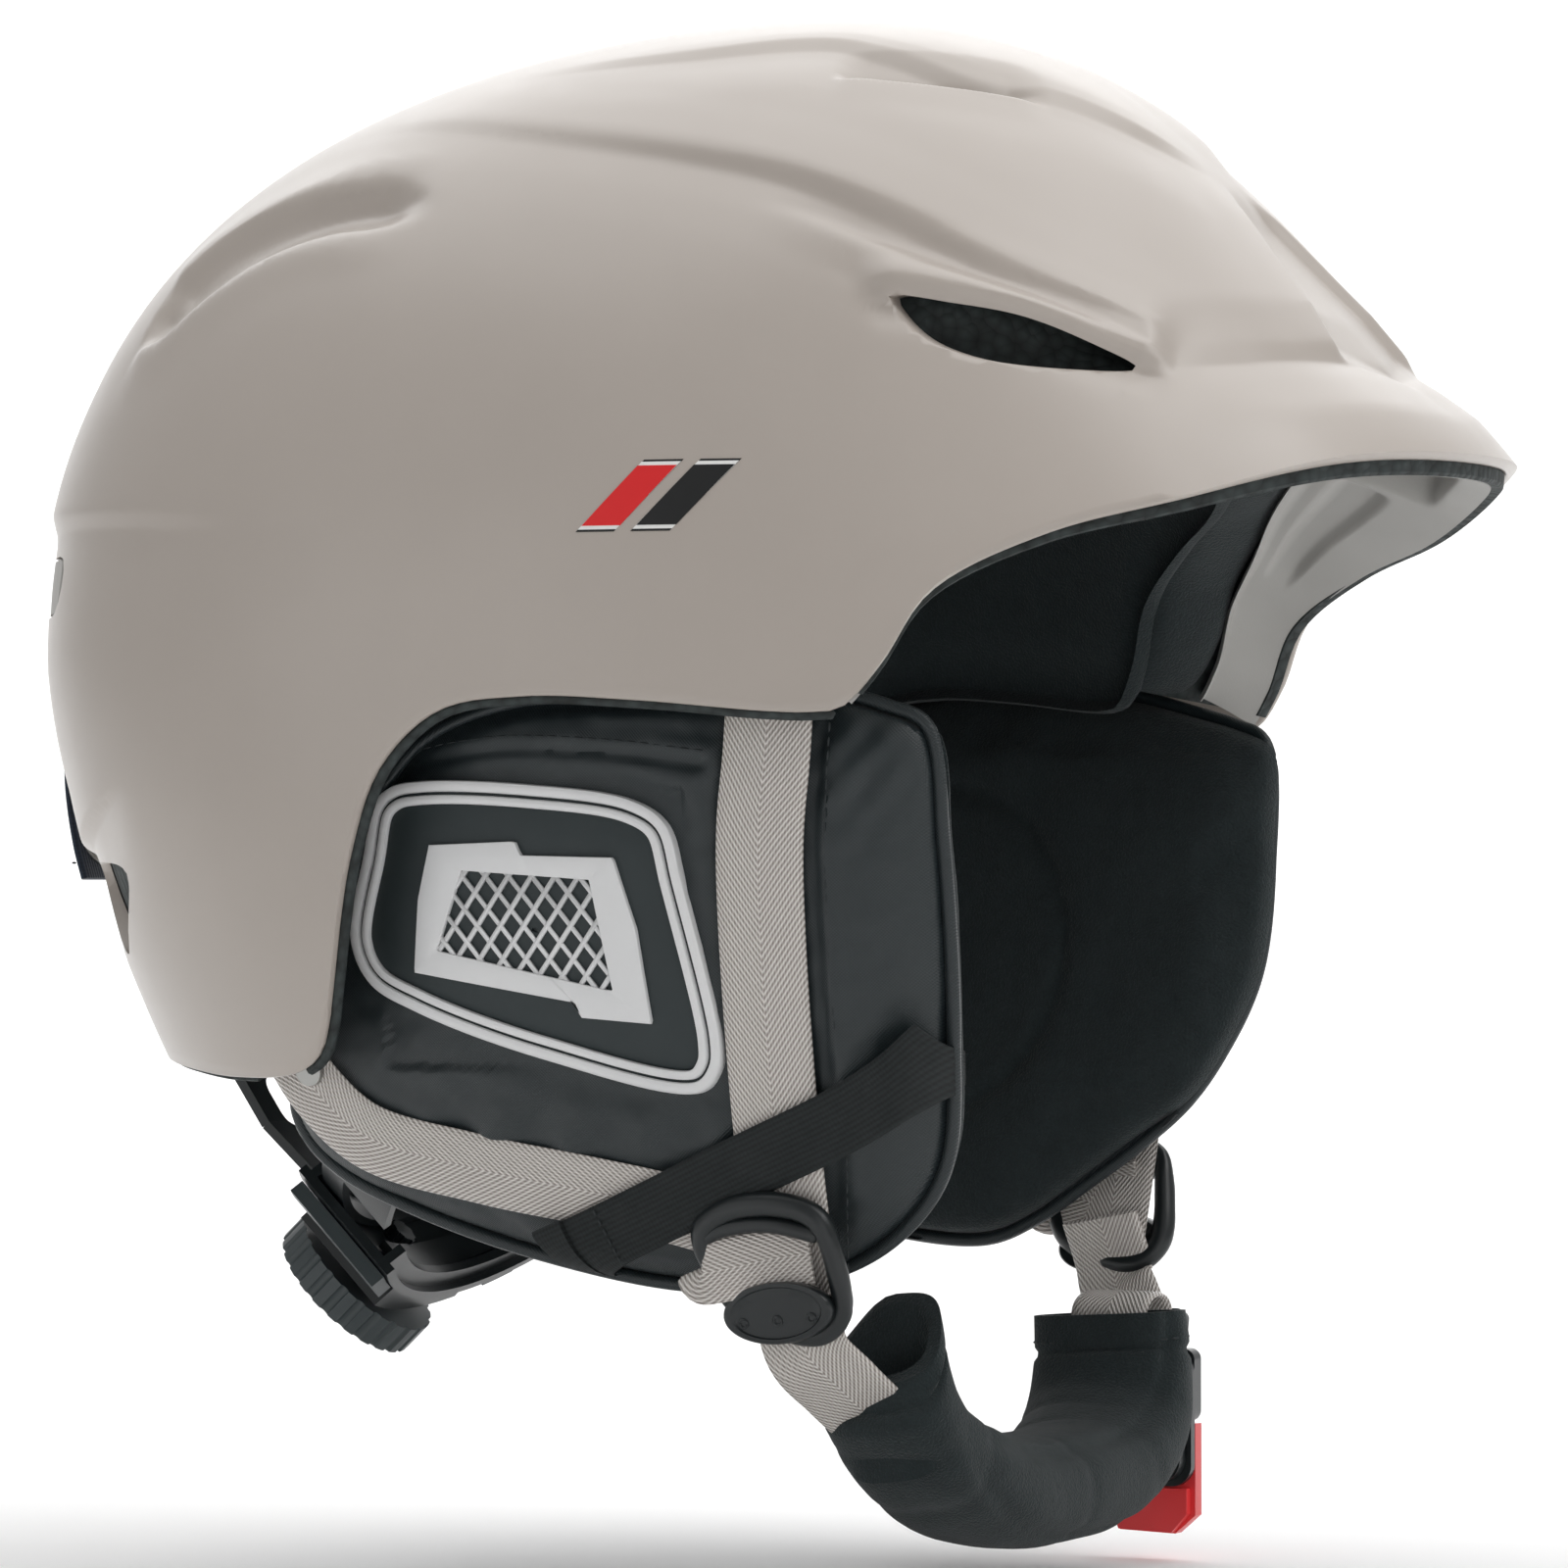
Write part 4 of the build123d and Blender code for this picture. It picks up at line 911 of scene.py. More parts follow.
def trim_to(obj: bpy.types.Object, outline: Array) -> None:
    """Trims an object to a convex side-view outline, closing the cut faces."""
    mid = outline.mean(0)
    with editing(obj.data) as bm:
        for a, b in zip(outline, np.roll(outline, -1, 0)):
            out = np.array([-(b - a)[1], (b - a)[0]])
            out *= np.sign(out @ (a - mid))
            geom = bm.verts[:] + bm.edges[:] + bm.faces[:]
            made = bmesh.ops.bisect_plane(bm, geom=geom, dist=1e-7, plane_co=Vector((0, *(a * MM))),
                                          plane_no=Vector((0, *out)), clear_outer=True)
            rim = [e for e in made["geom_cut"] if isinstance(e, bmesh.types.BMEdge)]
            bmesh.ops.holes_fill(bm, edges=rim, sides=0)


@dataclass
class Shell:
    """The lacquered shell, its foam liner and its printed marks."""

    stations: int = 300
    steps: int = 96
    inner_steps: int = 28
    wall: float = 3.4
    edge: float = 1.3
    foam_lip: float = 1.6
    foam_lip_front: float = 2.7

    def build(self) -> None:
        """Makes and dresses every piece."""
        self.shell()
        self.foam()
        for side in (-1, 1):
            self.mark(side)
        for name in ("rear_vent_grille_right", "rear_vent_grille_left"):
            dress(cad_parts[name], BLACK)
        dress(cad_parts["goggle_strap_anchor"], TRIM)

    def shell(self) -> bpy.types.Object:
        """The outer shell with its creases, scoops and openings."""
        way = DOME.rim(self.stations)
        crown = np.array([0.0, 0.02, 1.0]) / np.linalg.norm([0, 0.02, 1])
        rows = np.linspace(0, 1, self.steps + 1)[:-1]
        v = DOME.hit(slerp(way, crown, rows).reshape(-1, 3))
        top = DOME.hit(crown[None])
        v = np.vstack([v, top])
        n = self.stations
        faces = quads(self.steps, n, True) + fan((self.steps - 1) * n, n, len(v) - 1)
        mesh = bpy.data.meshes.new("shell_skin")
        mesh.from_pydata(v.tolist(), [], faces)
        with editing(mesh) as bm:
            self._refine(bm)
        skin = shell_point(DOME.hit(unit(points_of(mesh) - CENTRE)))
        count = len(skin)
        faces = [tuple(p.vertices) for p in mesh.polygons]
        bpy.data.meshes.remove(mesh)
        nose = DOME.hit(way, 0.6) - UP * 0.35
        lip = DOME.hit(way, self.edge) - UP * 0.1
        rise = np.linspace(0, 1, self.inner_steps + 1)[:-1]
        back = slerp(way, crown, rise)
        inset = np.repeat(self.edge + (self.wall - self.edge) * smooth(rise, 0, 0.12), n)
        inside = DOME.hit(back.reshape(-1, 3), inset)
        inside[:n] = lip
        v = np.vstack([skin, nose, inside, DOME.hit(crown[None], self.wall)])
        faces += bridge(0, count, n) + bridge(count, count + n, n) + quads(self.inner_steps, n, True, count + n)
        faces += fan(count + self.inner_steps * n, n, len(v) - 1)
        obj = solid("shell", v, faces, crease=72)
        cut(obj, self._openings(), crease=72)
        dress(obj, LACQUER)
        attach(obj, "helmet")
        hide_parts("outer_shell")
        return obj

    def _refine(self, bm: bmesh.types.BMesh) -> None:
        """Splits the faces along the sharp creases, where 2 mm faces are too coarse."""
        lines = np.vstack([spline(c.line, 60) for c in CREASES])
        lines = np.vstack([lines, lines * [-1, 1, 1]])
        tree = tree_of(lines)
        for reach in (7.0, 3.4):
            bm.verts.ensure_lookup_table()
            bm.verts.index_update()
            rim = {v for e in bm.edges if e.is_boundary for v in e.verts}
            for v in list(rim):
                rim |= {e.other_vert(v) for e in v.link_edges}
            fine = {v for v in bm.verts if v not in rim and tree.find(v.co)[2] < reach}
            edges = [e for e in bm.edges if e.verts[0] in fine and e.verts[1] in fine]
            bmesh.ops.subdivide_edges(bm, edges=edges, cuts=1, use_grid_fill=True)

    def _openings(self) -> list[bpy.types.Object]:
        """Cutters for the vents, the rear slot and the exhausts."""
        out = []
        vent = spline(VENT, 60, True)
        for side in (-1, 1):
            out.append(prism("cut_vent", [(side * 45, y, z) for y, z in vent], (side, 0, 0), 60))
            ex = spline(((-79, -23.5), (-65, -21.5), (-53, -22.5), (-55, -28.5), (-64, -38), (-74, -31)), 40, True)
            out.append(prism("cut_exhaust", [(-side * x, 84, z) for x, z in ex], (0, 1, 0), 60))
            slit = spline(((-49, -29.5), (-45.5, -40), (-39.5, -50.5), (-33.5, -57.5)), 16)
            side_way = tangents(slit)[:, ::-1] * [1, -1]
            wide = (0.25 + 0.95 * np.sin(np.linspace(0.05, math.pi - 0.05, 16)))[:, None]
            ring = np.vstack([slit + side_way * wide, (slit - side_way * wide)[::-1]])
            out.append(prism("cut_slit", [(-side * x, y, 100) for x, y in ring], (0, 0, 1), 40))
        slot = spline([(65, 28.6), (63, 33), (50, 34), (0, 34), (-50, 34), (-63, 33), (-65, 28.6), (-63, 24), (-50, 23),
                       (0, 23), (50, 23), (63, 24)], 90, True)
        out.append(prism("cut_slot", [(x, 96, z) for x, z in slot], (0, 1, 0), 60))
        return out

    def _under(self, p: Array) -> Array:
        """Points pulled in to lie at least the shell's wall below its surface."""
        way = unit(p - CENTRE)
        reach = np.linalg.norm(DOME.hit(way, self.wall + 0.5) - CENTRE, axis=1)
        return CENTRE + way * np.minimum(np.linalg.norm(p - CENTRE, axis=1), reach)[:, None]

    def foam(self) -> bpy.types.Object:
        """The foam liner, its lip showing as a dark beaded band under the shell's edge."""
        way = DOME.rim(self.stations)
        rim = DOME.hit(way, self.edge + 0.25)
        front = smooth(-rim[:, 1], 60, 125)
        drop = (self.foam_lip + (self.foam_lip_front - self.foam_lip) * front)[:, None]
        inside = head_edge(way, UP, rim)
        flat = Cavity.hit(inside, 0.6)
        inward = unit(flat - rim)
        down = -UP
        room = (8.0 * smooth(-rim[:, 1], 46, 58))[:, None]
        loops = [rim + down * drop * 0.75 + inward * 0.15, rim + down * drop + inward * 0.7,
                 rim + down * drop + inward * 2.4, self._under(rim + inward * 3.2 - down * room),
                 self._under(rim * 0.5 + flat * 0.5 - down * room), flat]

        def outer(p: Array, t: Array) -> Array:
            """The skin just under the shell, dished behind the vents."""
            q = DOME.hit(p, self.edge + 0.25 + (self.wall - self.edge) * smooth(t, 0, 0.12))
            hole = np.exp(-(((q[:, 1] + 66) / 15) ** 2 + ((q[:, 2] - 66) / 7) ** 2)) * (np.abs(q[:, 0]) > 45)
            return CENTRE + (q - CENTRE) * (1 - 0.055 * hole)[:, None]

        def inner(p: Array, t: Array) -> Array:
            """The head space's wall."""
            q = Cavity.hit(p, 0.6)
            far = np.linalg.norm(DOME.hit(p) - CENTRE, axis=1) - 6.5
            r = np.minimum(np.linalg.norm(q - CENTRE, axis=1), far)
            return CENTRE + p * r[:, None]

        obj = cup("foam_liner", way, inside, UP, outer, inner, loops, 64, 24)
        pad = spline((np.array(PAD) - PAD_MID) * 1.035 + PAD_MID, 90, True)
        cut(obj, [prism("cut_pad", [(side * 62, y, z) for y, z in pad], (side, 0, 0), 60) for side in (-1, 1)])
        dress(obj, FOAM)
        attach(obj, "helmet")
        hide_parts("eps_liner")
        edge = rim[(rim[:, 0] < 0) & (rim[:, 1] > -49) & (rim[:, 2] > -57.5) & (rim[:, 1] < 60)]
        for side, tag in ((1, "right"), (-1, "left")):
            bead = tube(f"foam_edge_{tag}", (edge + [0.5, -0.4, -0.5]) * [side, 1, 1], 1.0, 8)
            dress(bead, FOAM)
            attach(bead, "helmet")
        return obj

    def mark(self, side: int) -> None:
        """A plain printed mark on the temple: two slanted bars with a pale keyline."""
        bar = ((-3.5, 35.4), (-12.5, 45.6), (-19.5, 45.6), (-10.5, 35.4))
        hook = ((-13.5, 35.4), (-22.5, 45.6), (-29.5, 45.6), (-20.5, 35.4))
        layers, tag = [], "right" if side < 0 else "left"
        for shape, finish in ((bar, PRINT_RED), (hook, PRINT_BLACK)):
            mid = np.mean(shape, axis=0)
            for grow, paint, lift in ((1.32, PRINT_BLACK, 0.06), (1.2, PRINT_WHITE, 0.1), (1.0, finish, 0.14)):
                p = np.asarray(shape) - mid
                p = mid + p + np.sign(p) * (grow - 1) * 3.2
                dense = np.vstack([np.linspace(a, b, 9)[:-1] for a, b in zip(p, np.roll(p, -1, 0))])
                layers.append(self._film(f"mark_{tag}_{len(layers)}", dense, mid, side, lift, paint))
        first = joined(layers)
        first.name = f"side_print_{tag}"
        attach(first, "helmet")
        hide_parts(f"side_mark_{tag}")

    def _film(self, name: str, edge: Array, mid: Array, side: int, lift: float, finish: Finish) -> bpy.types.Object:
        """One printed layer, following the shell."""
        f = np.linspace(0, 1, 6)
        yz = (mid + f[:, None, None] * (edge - mid)[None]).reshape(-1, 2)
        p = np.column_stack([-DOME.side_x(yz), yz])
        n = DOME.normal(p)
        h = sum(c.height(p, n) for c in CREASES)[:, None]
        mirror = [-side, 1, 1]
        v = np.vstack([(p + n * (h + lift)) * mirror, (p + n * (h - 0.3)) * mirror])
        k, m = len(edge), len(p)
        faces = quads(6, k, True) + quads(6, k, True, m, True)
        obj = solid(name, v, faces + bridge(m - k, 2 * m - k, k))
        with editing(obj.data) as bm:
            bmesh.ops.remove_doubles(bm, verts=bm.verts, dist=0.01 * MM)
        return dress(obj, finish)


# ------------------------------------------------------------------ soft goods
def puff(obj: bpy.types.Object, cell: float, pressure: float, cap: float,
         keep: Callable[[Array], Array] | None = None, frames: int = 20) -> None:
    """Fills a cushion with a short cloth simulation and copies its shape back.

    A coarse copy of the cushion is blown up, and each vertex takes its capped displacement.
    Args: obj: the cushion. cell: coarse mesh size in mm. pressure: filling. cap: most mm moved.
        keep: share of the movement wanted at points. frames: simulated frames.
    """
    rough = obj.copy()
    rough.data = obj.data.copy()
    bpy.context.scene.collection.objects.link(rough)
    mesher = rough.modifiers.new("remesh", "REMESH")
    mesher.mode, mesher.voxel_size = "VOXEL", cell * MM
    apply_all(rough)
    rest = coords(rough)
    cloth = rough.modifiers.new("cloth", "CLOTH")
    setup = cloth.settings
    setup.quality, setup.mass, setup.tension_stiffness, setup.bending_stiffness = 5, 0.2, 12, 0.4
    setup.use_pressure, setup.uniform_pressure_force = True, pressure
    setup.effector_weights.gravity = 0
    scene = bpy.context.scene
    for f in range(1, frames + 1):
        scene.frame_set(f)
    apply_all(rough)
    move = coords(rough) - rest
    scene.frame_set(1)
    bpy.data.objects.remove(rough)
    tree = tree_of(rest)
    at = coords(obj)
    got = np.zeros_like(at)
    for i, p in enumerate(at):
        found = tree.find_n(p, 5)
        w = np.array([1 / (d + 0.5) ** 2 for _, _, d in found])
        got[i] = (move[[k for _, k, _ in found]] * w[:, None]).sum(0) / w.sum()
    size = np.linalg.norm(got, axis=1, keepdims=True)
    got *= np.minimum(1, cap / np.maximum(size, 1e-6))
    if keep is not None:
        got *= keep(at)[:, None]
    place(obj, at + got)


def cushion(obj: bpy.types.Object, finish: Finish, body: str, nodes: Sequence[str] = ()) -> bpy.types.Object:
    dress(obj, finish)
    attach(obj, body)
    if nodes:
        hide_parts(*nodes)
    return obj


@dataclass
class Lining:
    """The grey trim under the visor and the fleece inside the helmet."""

    trim_width: float = 31.0
    temple_width: float = 16.0
    fleece: float = 5.0

    def build(self) -> None:
        """Makes and dresses every piece."""
        self.trim()
        self.crown()
        self.brow()
        self.neck()

    def _rim(self, count: int) -> tuple[Array, Array]:
        """Rim points and head edge directions."""
        way = DOME.rim(count)
        rim = DOME.hit(way, 1.5)
        return rim, head_edge(way, UP, rim)

    def _front(self, count: int, limit: float, grow: float) -> tuple[Array, Array, Array, Array]:
        """The part of the rim before y = limit, from one temple to the other.

        Args: count: points round the whole rim. limit: y in mm. grow: how far out the head space's wall is.
        Returns: rim points, wall points, share of the way to the front, and the trim's width.
        """
        rim, inside = self._rim(count)
        k = np.flatnonzero(rim[:, 1] < limit)
        k = np.concatenate([k[k > count // 2], k[k <= count // 2]])
        rim, wall = rim[k], Cavity.hit(inside[k], grow)
        front = smooth(-rim[:, 1], 56, 108)[:, None]
        return rim, wall, front, self.temple_width + (self.trim_width - self.temple_width) * front

    @staticmethod
    def _frame(rim: Array, across: Array) -> Array:
        """Directions square to the rim and to across, pointing up."""
        up = unit(np.cross(tangents(rim), across))
        return up * np.sign(up[:, 2:3] + 1e-6)

    def trim(self) -> bpy.types.Object:
        """The moulded trim under the visor, with vent pockets, running down both temples."""
        rim, wall, front, wide = self._front(900, -51.5, 0.3)
        inward = unit(wall - rim)
        a = rim + inward * (1.7 + 0.9 * front) - UP * (1.4 + 1.5 * front)
        b = rim + inward * np.minimum(wide, np.linalg.norm(wall - rim, axis=1, keepdims=True) - 2)
        b[:, 2] += (2.5 * front + 1.0)[:, 0]
        run = lengths(rim)
        run -= run[np.argmin(np.abs(rim[:, 0]))]
        u = np.linspace(0, 1, 34)
        p = a[:, None] * (1 - u[None, :, None]) + b[:, None] * u[None, :, None]
        up = self._frame(rim, unit(b - a))
        s = np.abs(run)[:, None]
        u2 = u[None]
        pocket = smooth(u2, 0.2, 0.3) * smooth(-u2, -0.86, -0.76) * smooth(-s, -62, -57)
        bars = 1 - smooth(-np.abs(s - 17), -3.4, -1.6) * smooth(-u2, -0.62, -0.5)
        slim = smooth(u2, 0.42, 0.5) * smooth(-u2, -0.8, -0.7) * smooth(s, 64, 70) * smooth(-s, -118, -108)
        lip = smooth(u2, 0.9, 1.0) * 1.6
        high = (5.5 * pocket * bars + 1.6 * slim - lip + 0.5 * np.sin(u2 * math.pi))[:, :, None]
        top = p + up[:, None] * high
        back = top[:, ::-1] + up[:, None] * 1.3
        v = np.concatenate([top, back], 1)
        n, cols = len(rim), v.shape[1]
        f = quads(n, cols, True) + band_ends(n, cols)
        obj = solid("visor_underside_trim", v.reshape(-1, 3), f, crease=50)
        dress(obj, TRIM)
        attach(obj, "helmet")
        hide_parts("visor_trim")
        return obj

    def crown(self) -> bpy.types.Object:
        """The quilted fleece lining of the head space, its edge rounded over."""
        _, inside = self._rim(260)

        def outer(p: Array, t: Array) -> Array:
            """Against the foam."""
            return Cavity.hit(p, 0.2)

        def inner(p: Array, t: Array) -> Array:
            """The quilted face: cushions between stitched channels."""
            q = Cavity.hit(p, -self.fleece)
            lanes = np.abs(np.sin(q[:, 0] / 27.0)) ** 0.5 * np.abs(np.cos(q[:, 1] / 38.0)) ** 0.4
            return Cavity.hit(p, -self.fleece + 2.4 - 3.0 * lanes * smooth(t, 0.02, 0.12))

        e0, e1 = Cavity.hit(inside, 0.2), Cavity.hit(inside, -self.fleece)
        edge = [e0 * (1 - k) + e1 * k - UP * low for k, low in ((0, 1.2), (0.25, 2.2), (0.6, 2.3), (1, 1.0))]
        obj = cup("crown_lining", inside, inside, UP, outer, inner, edge, 40, 90)
        return cushion(obj, FLEECE, "helmet", ("crown_pad",))

    def brow(self) -> bpy.types.Object:
        """The fleece brow pad behind the trim, with its bound lower edge."""
        rim, wall, front, wide = self._front(400, -48, -2.0)
        room = np.linalg.norm(wall - rim, axis=1, keepdims=True) - 6
        a = rim + unit(wall - rim) * np.maximum(np.minimum(wide - 1.5, room), 2)
        a[:, 2] += (2.5 * front + 3.2)[:, 0]
        mid, half = (a + wall) / 2, np.linalg.norm(wall - a, axis=1, keepdims=True) / 2 + 1.5
        mid[:, 2] += 4.4
        across = unit(wall - a)
        up = self._frame(rim, across)
        t = np.linspace(0, FULL, 26, endpoint=False)
        c, s = np.cos(t), np.sin(t)
        ring = half[:, None] * (np.sign(c) * np.abs(c) ** 0.7)[None, :, None] * across[:, None] \
            + 4.8 * (np.sign(s) * np.abs(s) ** 0.7)[None, :, None] * up[:, None]
        taper = np.sin(np.linspace(0.12, math.pi - 0.12, len(rim))) ** 0.12
        v = (mid[:, None] + ring * taper[:, None, None]).reshape(-1, 3)
        v = np.vstack([v, mid[:1], mid[-1:]])
        obj = solid("brow_cushion", v, quads(len(rim), 26, True) + caps(len(rim), 26), crease=60)
        puff(obj, 4.5, 4.0, 0.9)
        return cushion(obj, SUEDE, "helmet", ("brow_pad",))

    def neck(self) -> bpy.types.Object:
        """The fleece roll at the nape, inside the rear rim."""
        a = np.radians(np.linspace(38, 142, 60))
        line = np.column_stack([79 * np.cos(a), 5 + 97.5 * np.sin(a), -37 - 3 * np.sin(a)])
        t = tangents(line)
        side = unit(np.cross(t, [0, 0, 1.0]))
        r = np.sin(np.linspace(0.15, math.pi - 0.15, 60)) ** 0.25
        b = np.linspace(0, FULL, 24, endpoint=False)
        v = line[:, None] + (r[:, None, None] * (5.2 * np.cos(b)[None, :, None] * side[:, None]
                                                 + 15.5 * np.sin(b)[None, :, None] * np.array([0, 0, 1.0])))
        f = quads(60, 24, True) + [tuple(range(24))[::-1], tuple(59 * 24 + j for j in range(24))]
        obj = solid("neck_cushion", v.reshape(-1, 3), f, crease=60)
        puff(obj, 4.5, 4.0, 1.0)
        return cushion(obj, FLEECE, "helmet", ("neck_roll",))


PAD = ((-58.5, 1.4), (-52, 4.6), (-44, 6.9), (-22, 12), (10, 12), (30, 5), (45, -12), (54, -32), (60, -50),
       (65.5, -63.5),
       (64, -69.5), (58, -75.5), (44, -82), (20, -89.5), (-8, -94.5), (-30, -93), (-45, -86.5), (-56, -74),
       (-60, -50), (-60.5, -18))
BADGE = ((36, -8.6), (30, -7.6), (10, -8.2), (-10, -11), (-16, -15), (-18.5, -25), (-23, -52), (-22, -57.5), (-18, -61),
         (10, -55.5), (34, -47.5), (43, -42.5), (46, -35), (42, -20), (39.5, -11.5))
FRONT_STRAP = ((-35.3, 9), (-34.2, -4), (-32.5, -17), (-31.6, -42), (-31.0, -66), (-30.6, -84), (-30.4, -97))
REAR_STRAP = ((60.5, -55.5), (57, -61), (47.5, -69.2), (26, -74.6), (4, -78.4), (-12, -81.6), (-26, -86))
KEEPER = ((-60.6, -53.2), (-55, -58.2), (-45, -64.5), (-25, -73.8), (-8, -81.6), (8, -88.6), (13.5, -90.8))
SEAM_TOP = ((-22, -4.5), (-5, -2.6), (18, -2.2), (36, -6.5), (45, -17))
ARC_ONE = ((56, -52), (50, -33), (42, -15), (30, -1), (12, 5.6), (-12, 6.2), (-24, 5.4))
GUSSET = ((-43.6, 6), (-41.6, -18), (-41.0, -45), (-40.6, -70), (-38, -92))
PAD_FAR = (*PAD[:14], (-8, -92.5), (-18, -88.5), (-28, -81.5), (-37.5, -74.5), (-46.5, -66.5), (-53, -57),
           (-59, -43), (-60.5, -22))
PAD_MID = np.array([2.0, -42.0])


def outward(loop: Array) -> Array:
    """Directions out of a closed flat loop at each of its points."""
    way = unit(np.cross(np.column_stack([tangents(loop, True), np.zeros(len(loop))]), UP)[:, :2])
    return -way if ((loop - loop.mean(0)) * way).sum() < 0 else way


def pad_x(yz: Array) -> Array:
    """Distance from the midplane of the ear pad's outer face at side-view points."""
    y, z = yz[:, 0], yz[:, 1]
    return 99 - 0.00175 * np.clip(20 - z, 0, None) ** 2 - 0.0015 * (y - 5) ** 2


@dataclass
class EarPad:
    """One ear pad: nylon cushion, fleece cheek, badge, webbing, keeper and strap divider."""

    side: int
    thick: float = 15.6
    crown: float = 0.5

    @property
    def tag(self) -> str:
        """right or left."""
        return "right" if self.side < 0 else "left"

    def build(self) -> None:
        """Makes and dresses every piece."""
        self.outer()
        self.cheek()
        self.piping()
        self.badge()
        self.webbing()
        self.divider()
        dress(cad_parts[f"strap_rivets_{self.tag}"], STEEL)

    @property
    def outline(self) -> Outline:
        """Side view of the cushion; the left one is cut away more in front, below."""
        return PAD if self.side < 0 else PAD_FAR

    def _mirror(self, p: Array) -> Array:
        """Points given on the right side, on this one."""
        return p * [-self.side, 1, 1]

    def _turned(self, obj: bpy.types.Object) -> bpy.types.Object:
        """A cushion made on the right side, moved to this one."""
        place(obj, self._mirror(coords(obj)))
        if self.side > 0:
            obj.data.flip_normals()
        return obj

    def _relief(self, yz: Array) -> Array:
        """Seams, pressed straps and puckers of the nylon face, in mm outward."""
        h = np.zeros(len(yz))
        for line, depth, wide in ((SEAM_TOP, -0.9, 1.0), (ARC_ONE, -0.8, 1.0), (GUSSET, -0.9, 1.1)):
            d, _, _ = near(yz, spline(line, 60))
            h += depth * np.exp(-((d / wide) ** 2)) + 0.35 * np.exp(-(((d - 2.6) / 1.8) ** 2))
        for line, wide in ((FRONT_STRAP, 7.8), (REAR_STRAP, 6.6)):
            d, _, _ = near(yz, spline(line, 60))
            h -= 0.75 * smooth(-d, -wide - 2.5, -wide + 1)
        d, _, _ = near(yz, spline(BADGE, 80, True))
        corner = np.exp(-(((yz[:, 0] + 51) / 9) ** 2 + ((yz[:, 1] + 3) / 11) ** 2))
        p3 = np.column_stack([np.zeros(len(yz)), yz])
        h += corner * 1.1 * np.sin(yz[:, 0] * 0.9 + 0.35 * yz[:, 1]) * np.sin(yz[:, 1] * 0.35 + 1.0)
        h += 0.35 * ripple(p3, 21, 4 if self.side < 0 else 9) + 0.16 * ripple(p3, 8, 14)
        low = np.exp(-(((yz[:, 1] + 0.14 * yz[:, 0] + 66) / 9) ** 2))
        return h + low * 0.5 * np.sin(yz[:, 0] * 0.42 + 1.5 * np.sin(yz[:, 1] * 0.2))

    def outer(self) -> bpy.types.Object:
        """The coated nylon cushion."""
        half = self.thick / 2

        def front(yz: Array, f: Array) -> Array:
            """Outer face, rounded to the edge."""
            bow = (1 - np.clip(f, 0, 1) ** 5) ** (1 / 2.2)
            return -(pad_x(yz) - half + half * bow + self.crown * (1 - f**2) + self._relief(yz) * (1 - f**8))

        def back(yz: Array, f: Array) -> Array:
            """Flat back against the cheek."""
            return -(pad_x(yz) - half - 1.5 * (1 - f**6))

        name = f"ear_cushion_{self.tag}"
        obj = self._turned(star_solid(name, self.outline, PAD_MID, front, back, 60, 380, 55))

        def keep(p: Array) -> Array:
            """Less movement under the badge and straps."""
            d, _, _ = near(p[:, 1:], spline(BADGE, 60, True))
            s, _, _ = near(p[:, 1:], spline(FRONT_STRAP, 40))
            in_badge = (np.abs(p[:, 1] - 11) < 30) & (np.abs(p[:, 2] + 33) < 24)
            return np.where(in_badge, 0.0, smooth(d, 1, 7)) * smooth(s, 6, 12)

        puff(obj, 5.0, 4.0, 1.1, keep)
        return cushion(obj, NYLON, "helmet", (f"ear_pad_{self.tag}",))

    def cheek(self) -> bpy.types.Object:
        """The fleece cheek cushion on the inside, standing a little past the nylon in front."""
        half = self.thick / 2
        line = tuple((y - 2.4 * (y < -40), z) for y, z in self.outline)

        def front(yz: Array, f: Array) -> Array:
            """Towards the nylon."""
            return -(pad_x(yz) - half - 0.4 + 1.2 * (1 - f**8))

        def back(yz: Array, f: Array) -> Array:
            """The cheek side, crowned, with a stitched oval round the ear."""
            oval = np.hypot((yz[:, 0] - 4) / 27, (yz[:, 1] + 38) / 31)
            seam = -1.3 * np.exp(-(((oval - 1) * 29 / 1.6) ** 2))
            bow = (1 - np.clip(f, 0, 1) ** 4) ** (1 / 2.4)
            p3 = np.column_stack([np.zeros(len(yz)), yz])
            soft = 0.45 * ripple(p3, 24, 31 + self.side)
            return -(pad_x(yz) - half - 0.8 - 9.6 * bow - 1.6 * (1 - f**2) - seam - soft)

        obj = self._turned(star_solid(f"cheek_cushion_{self.tag}", line, PAD_MID, front, back, 44, 300, 55))
        puff(obj, 5.5, 4.0, 1.2)
        return cushion(obj, FLEECE, "helmet", (f"ear_pad_lining_{self.tag}",))

    def _on(self, yz: Array, lift: float) -> Array:
        """Points lift mm outside the pad's face at side-view points."""
        return self._mirror(np.column_stack([-(pad_x(yz) + lift), yz]))

    def piping(self) -> None:
        """Corded edges and topstitching."""
        edge = spline(self.outline, 360, True)
        away = unit(edge - PAD_MID)
        rope = self._mirror(np.column_stack([-(pad_x(edge) - self.thick / 2 + 0.6), edge + away * 0.35]))
        cord = tube(f"ear_piping_{self.tag}", rope, 1.25, 10, True)
        dress(cord, NYLON)
        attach(cord, "helmet")
        arc = tube(f"ear_arc_piping_{self.tag}", self._on(spline(ARC_ONE, 110), 0.55), 1.0, 10)
        dress(arc, NYLON)
        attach(arc, "helmet")
        for i, line in enumerate((SEAM_TOP, GUSSET)):
            yz = spline(line, 90) + (np.array([0, 1.9]) if i == 0 else np.array([-2.0, 0]))
            yz = yz[yz[:, 1] > (-92 if self.side < 0 else -62)]
            stitches(f"ear_stitches_{i}_{self.tag}", self._on(yz, 0.75), "helmet", 2.4, THREAD, 0.4)

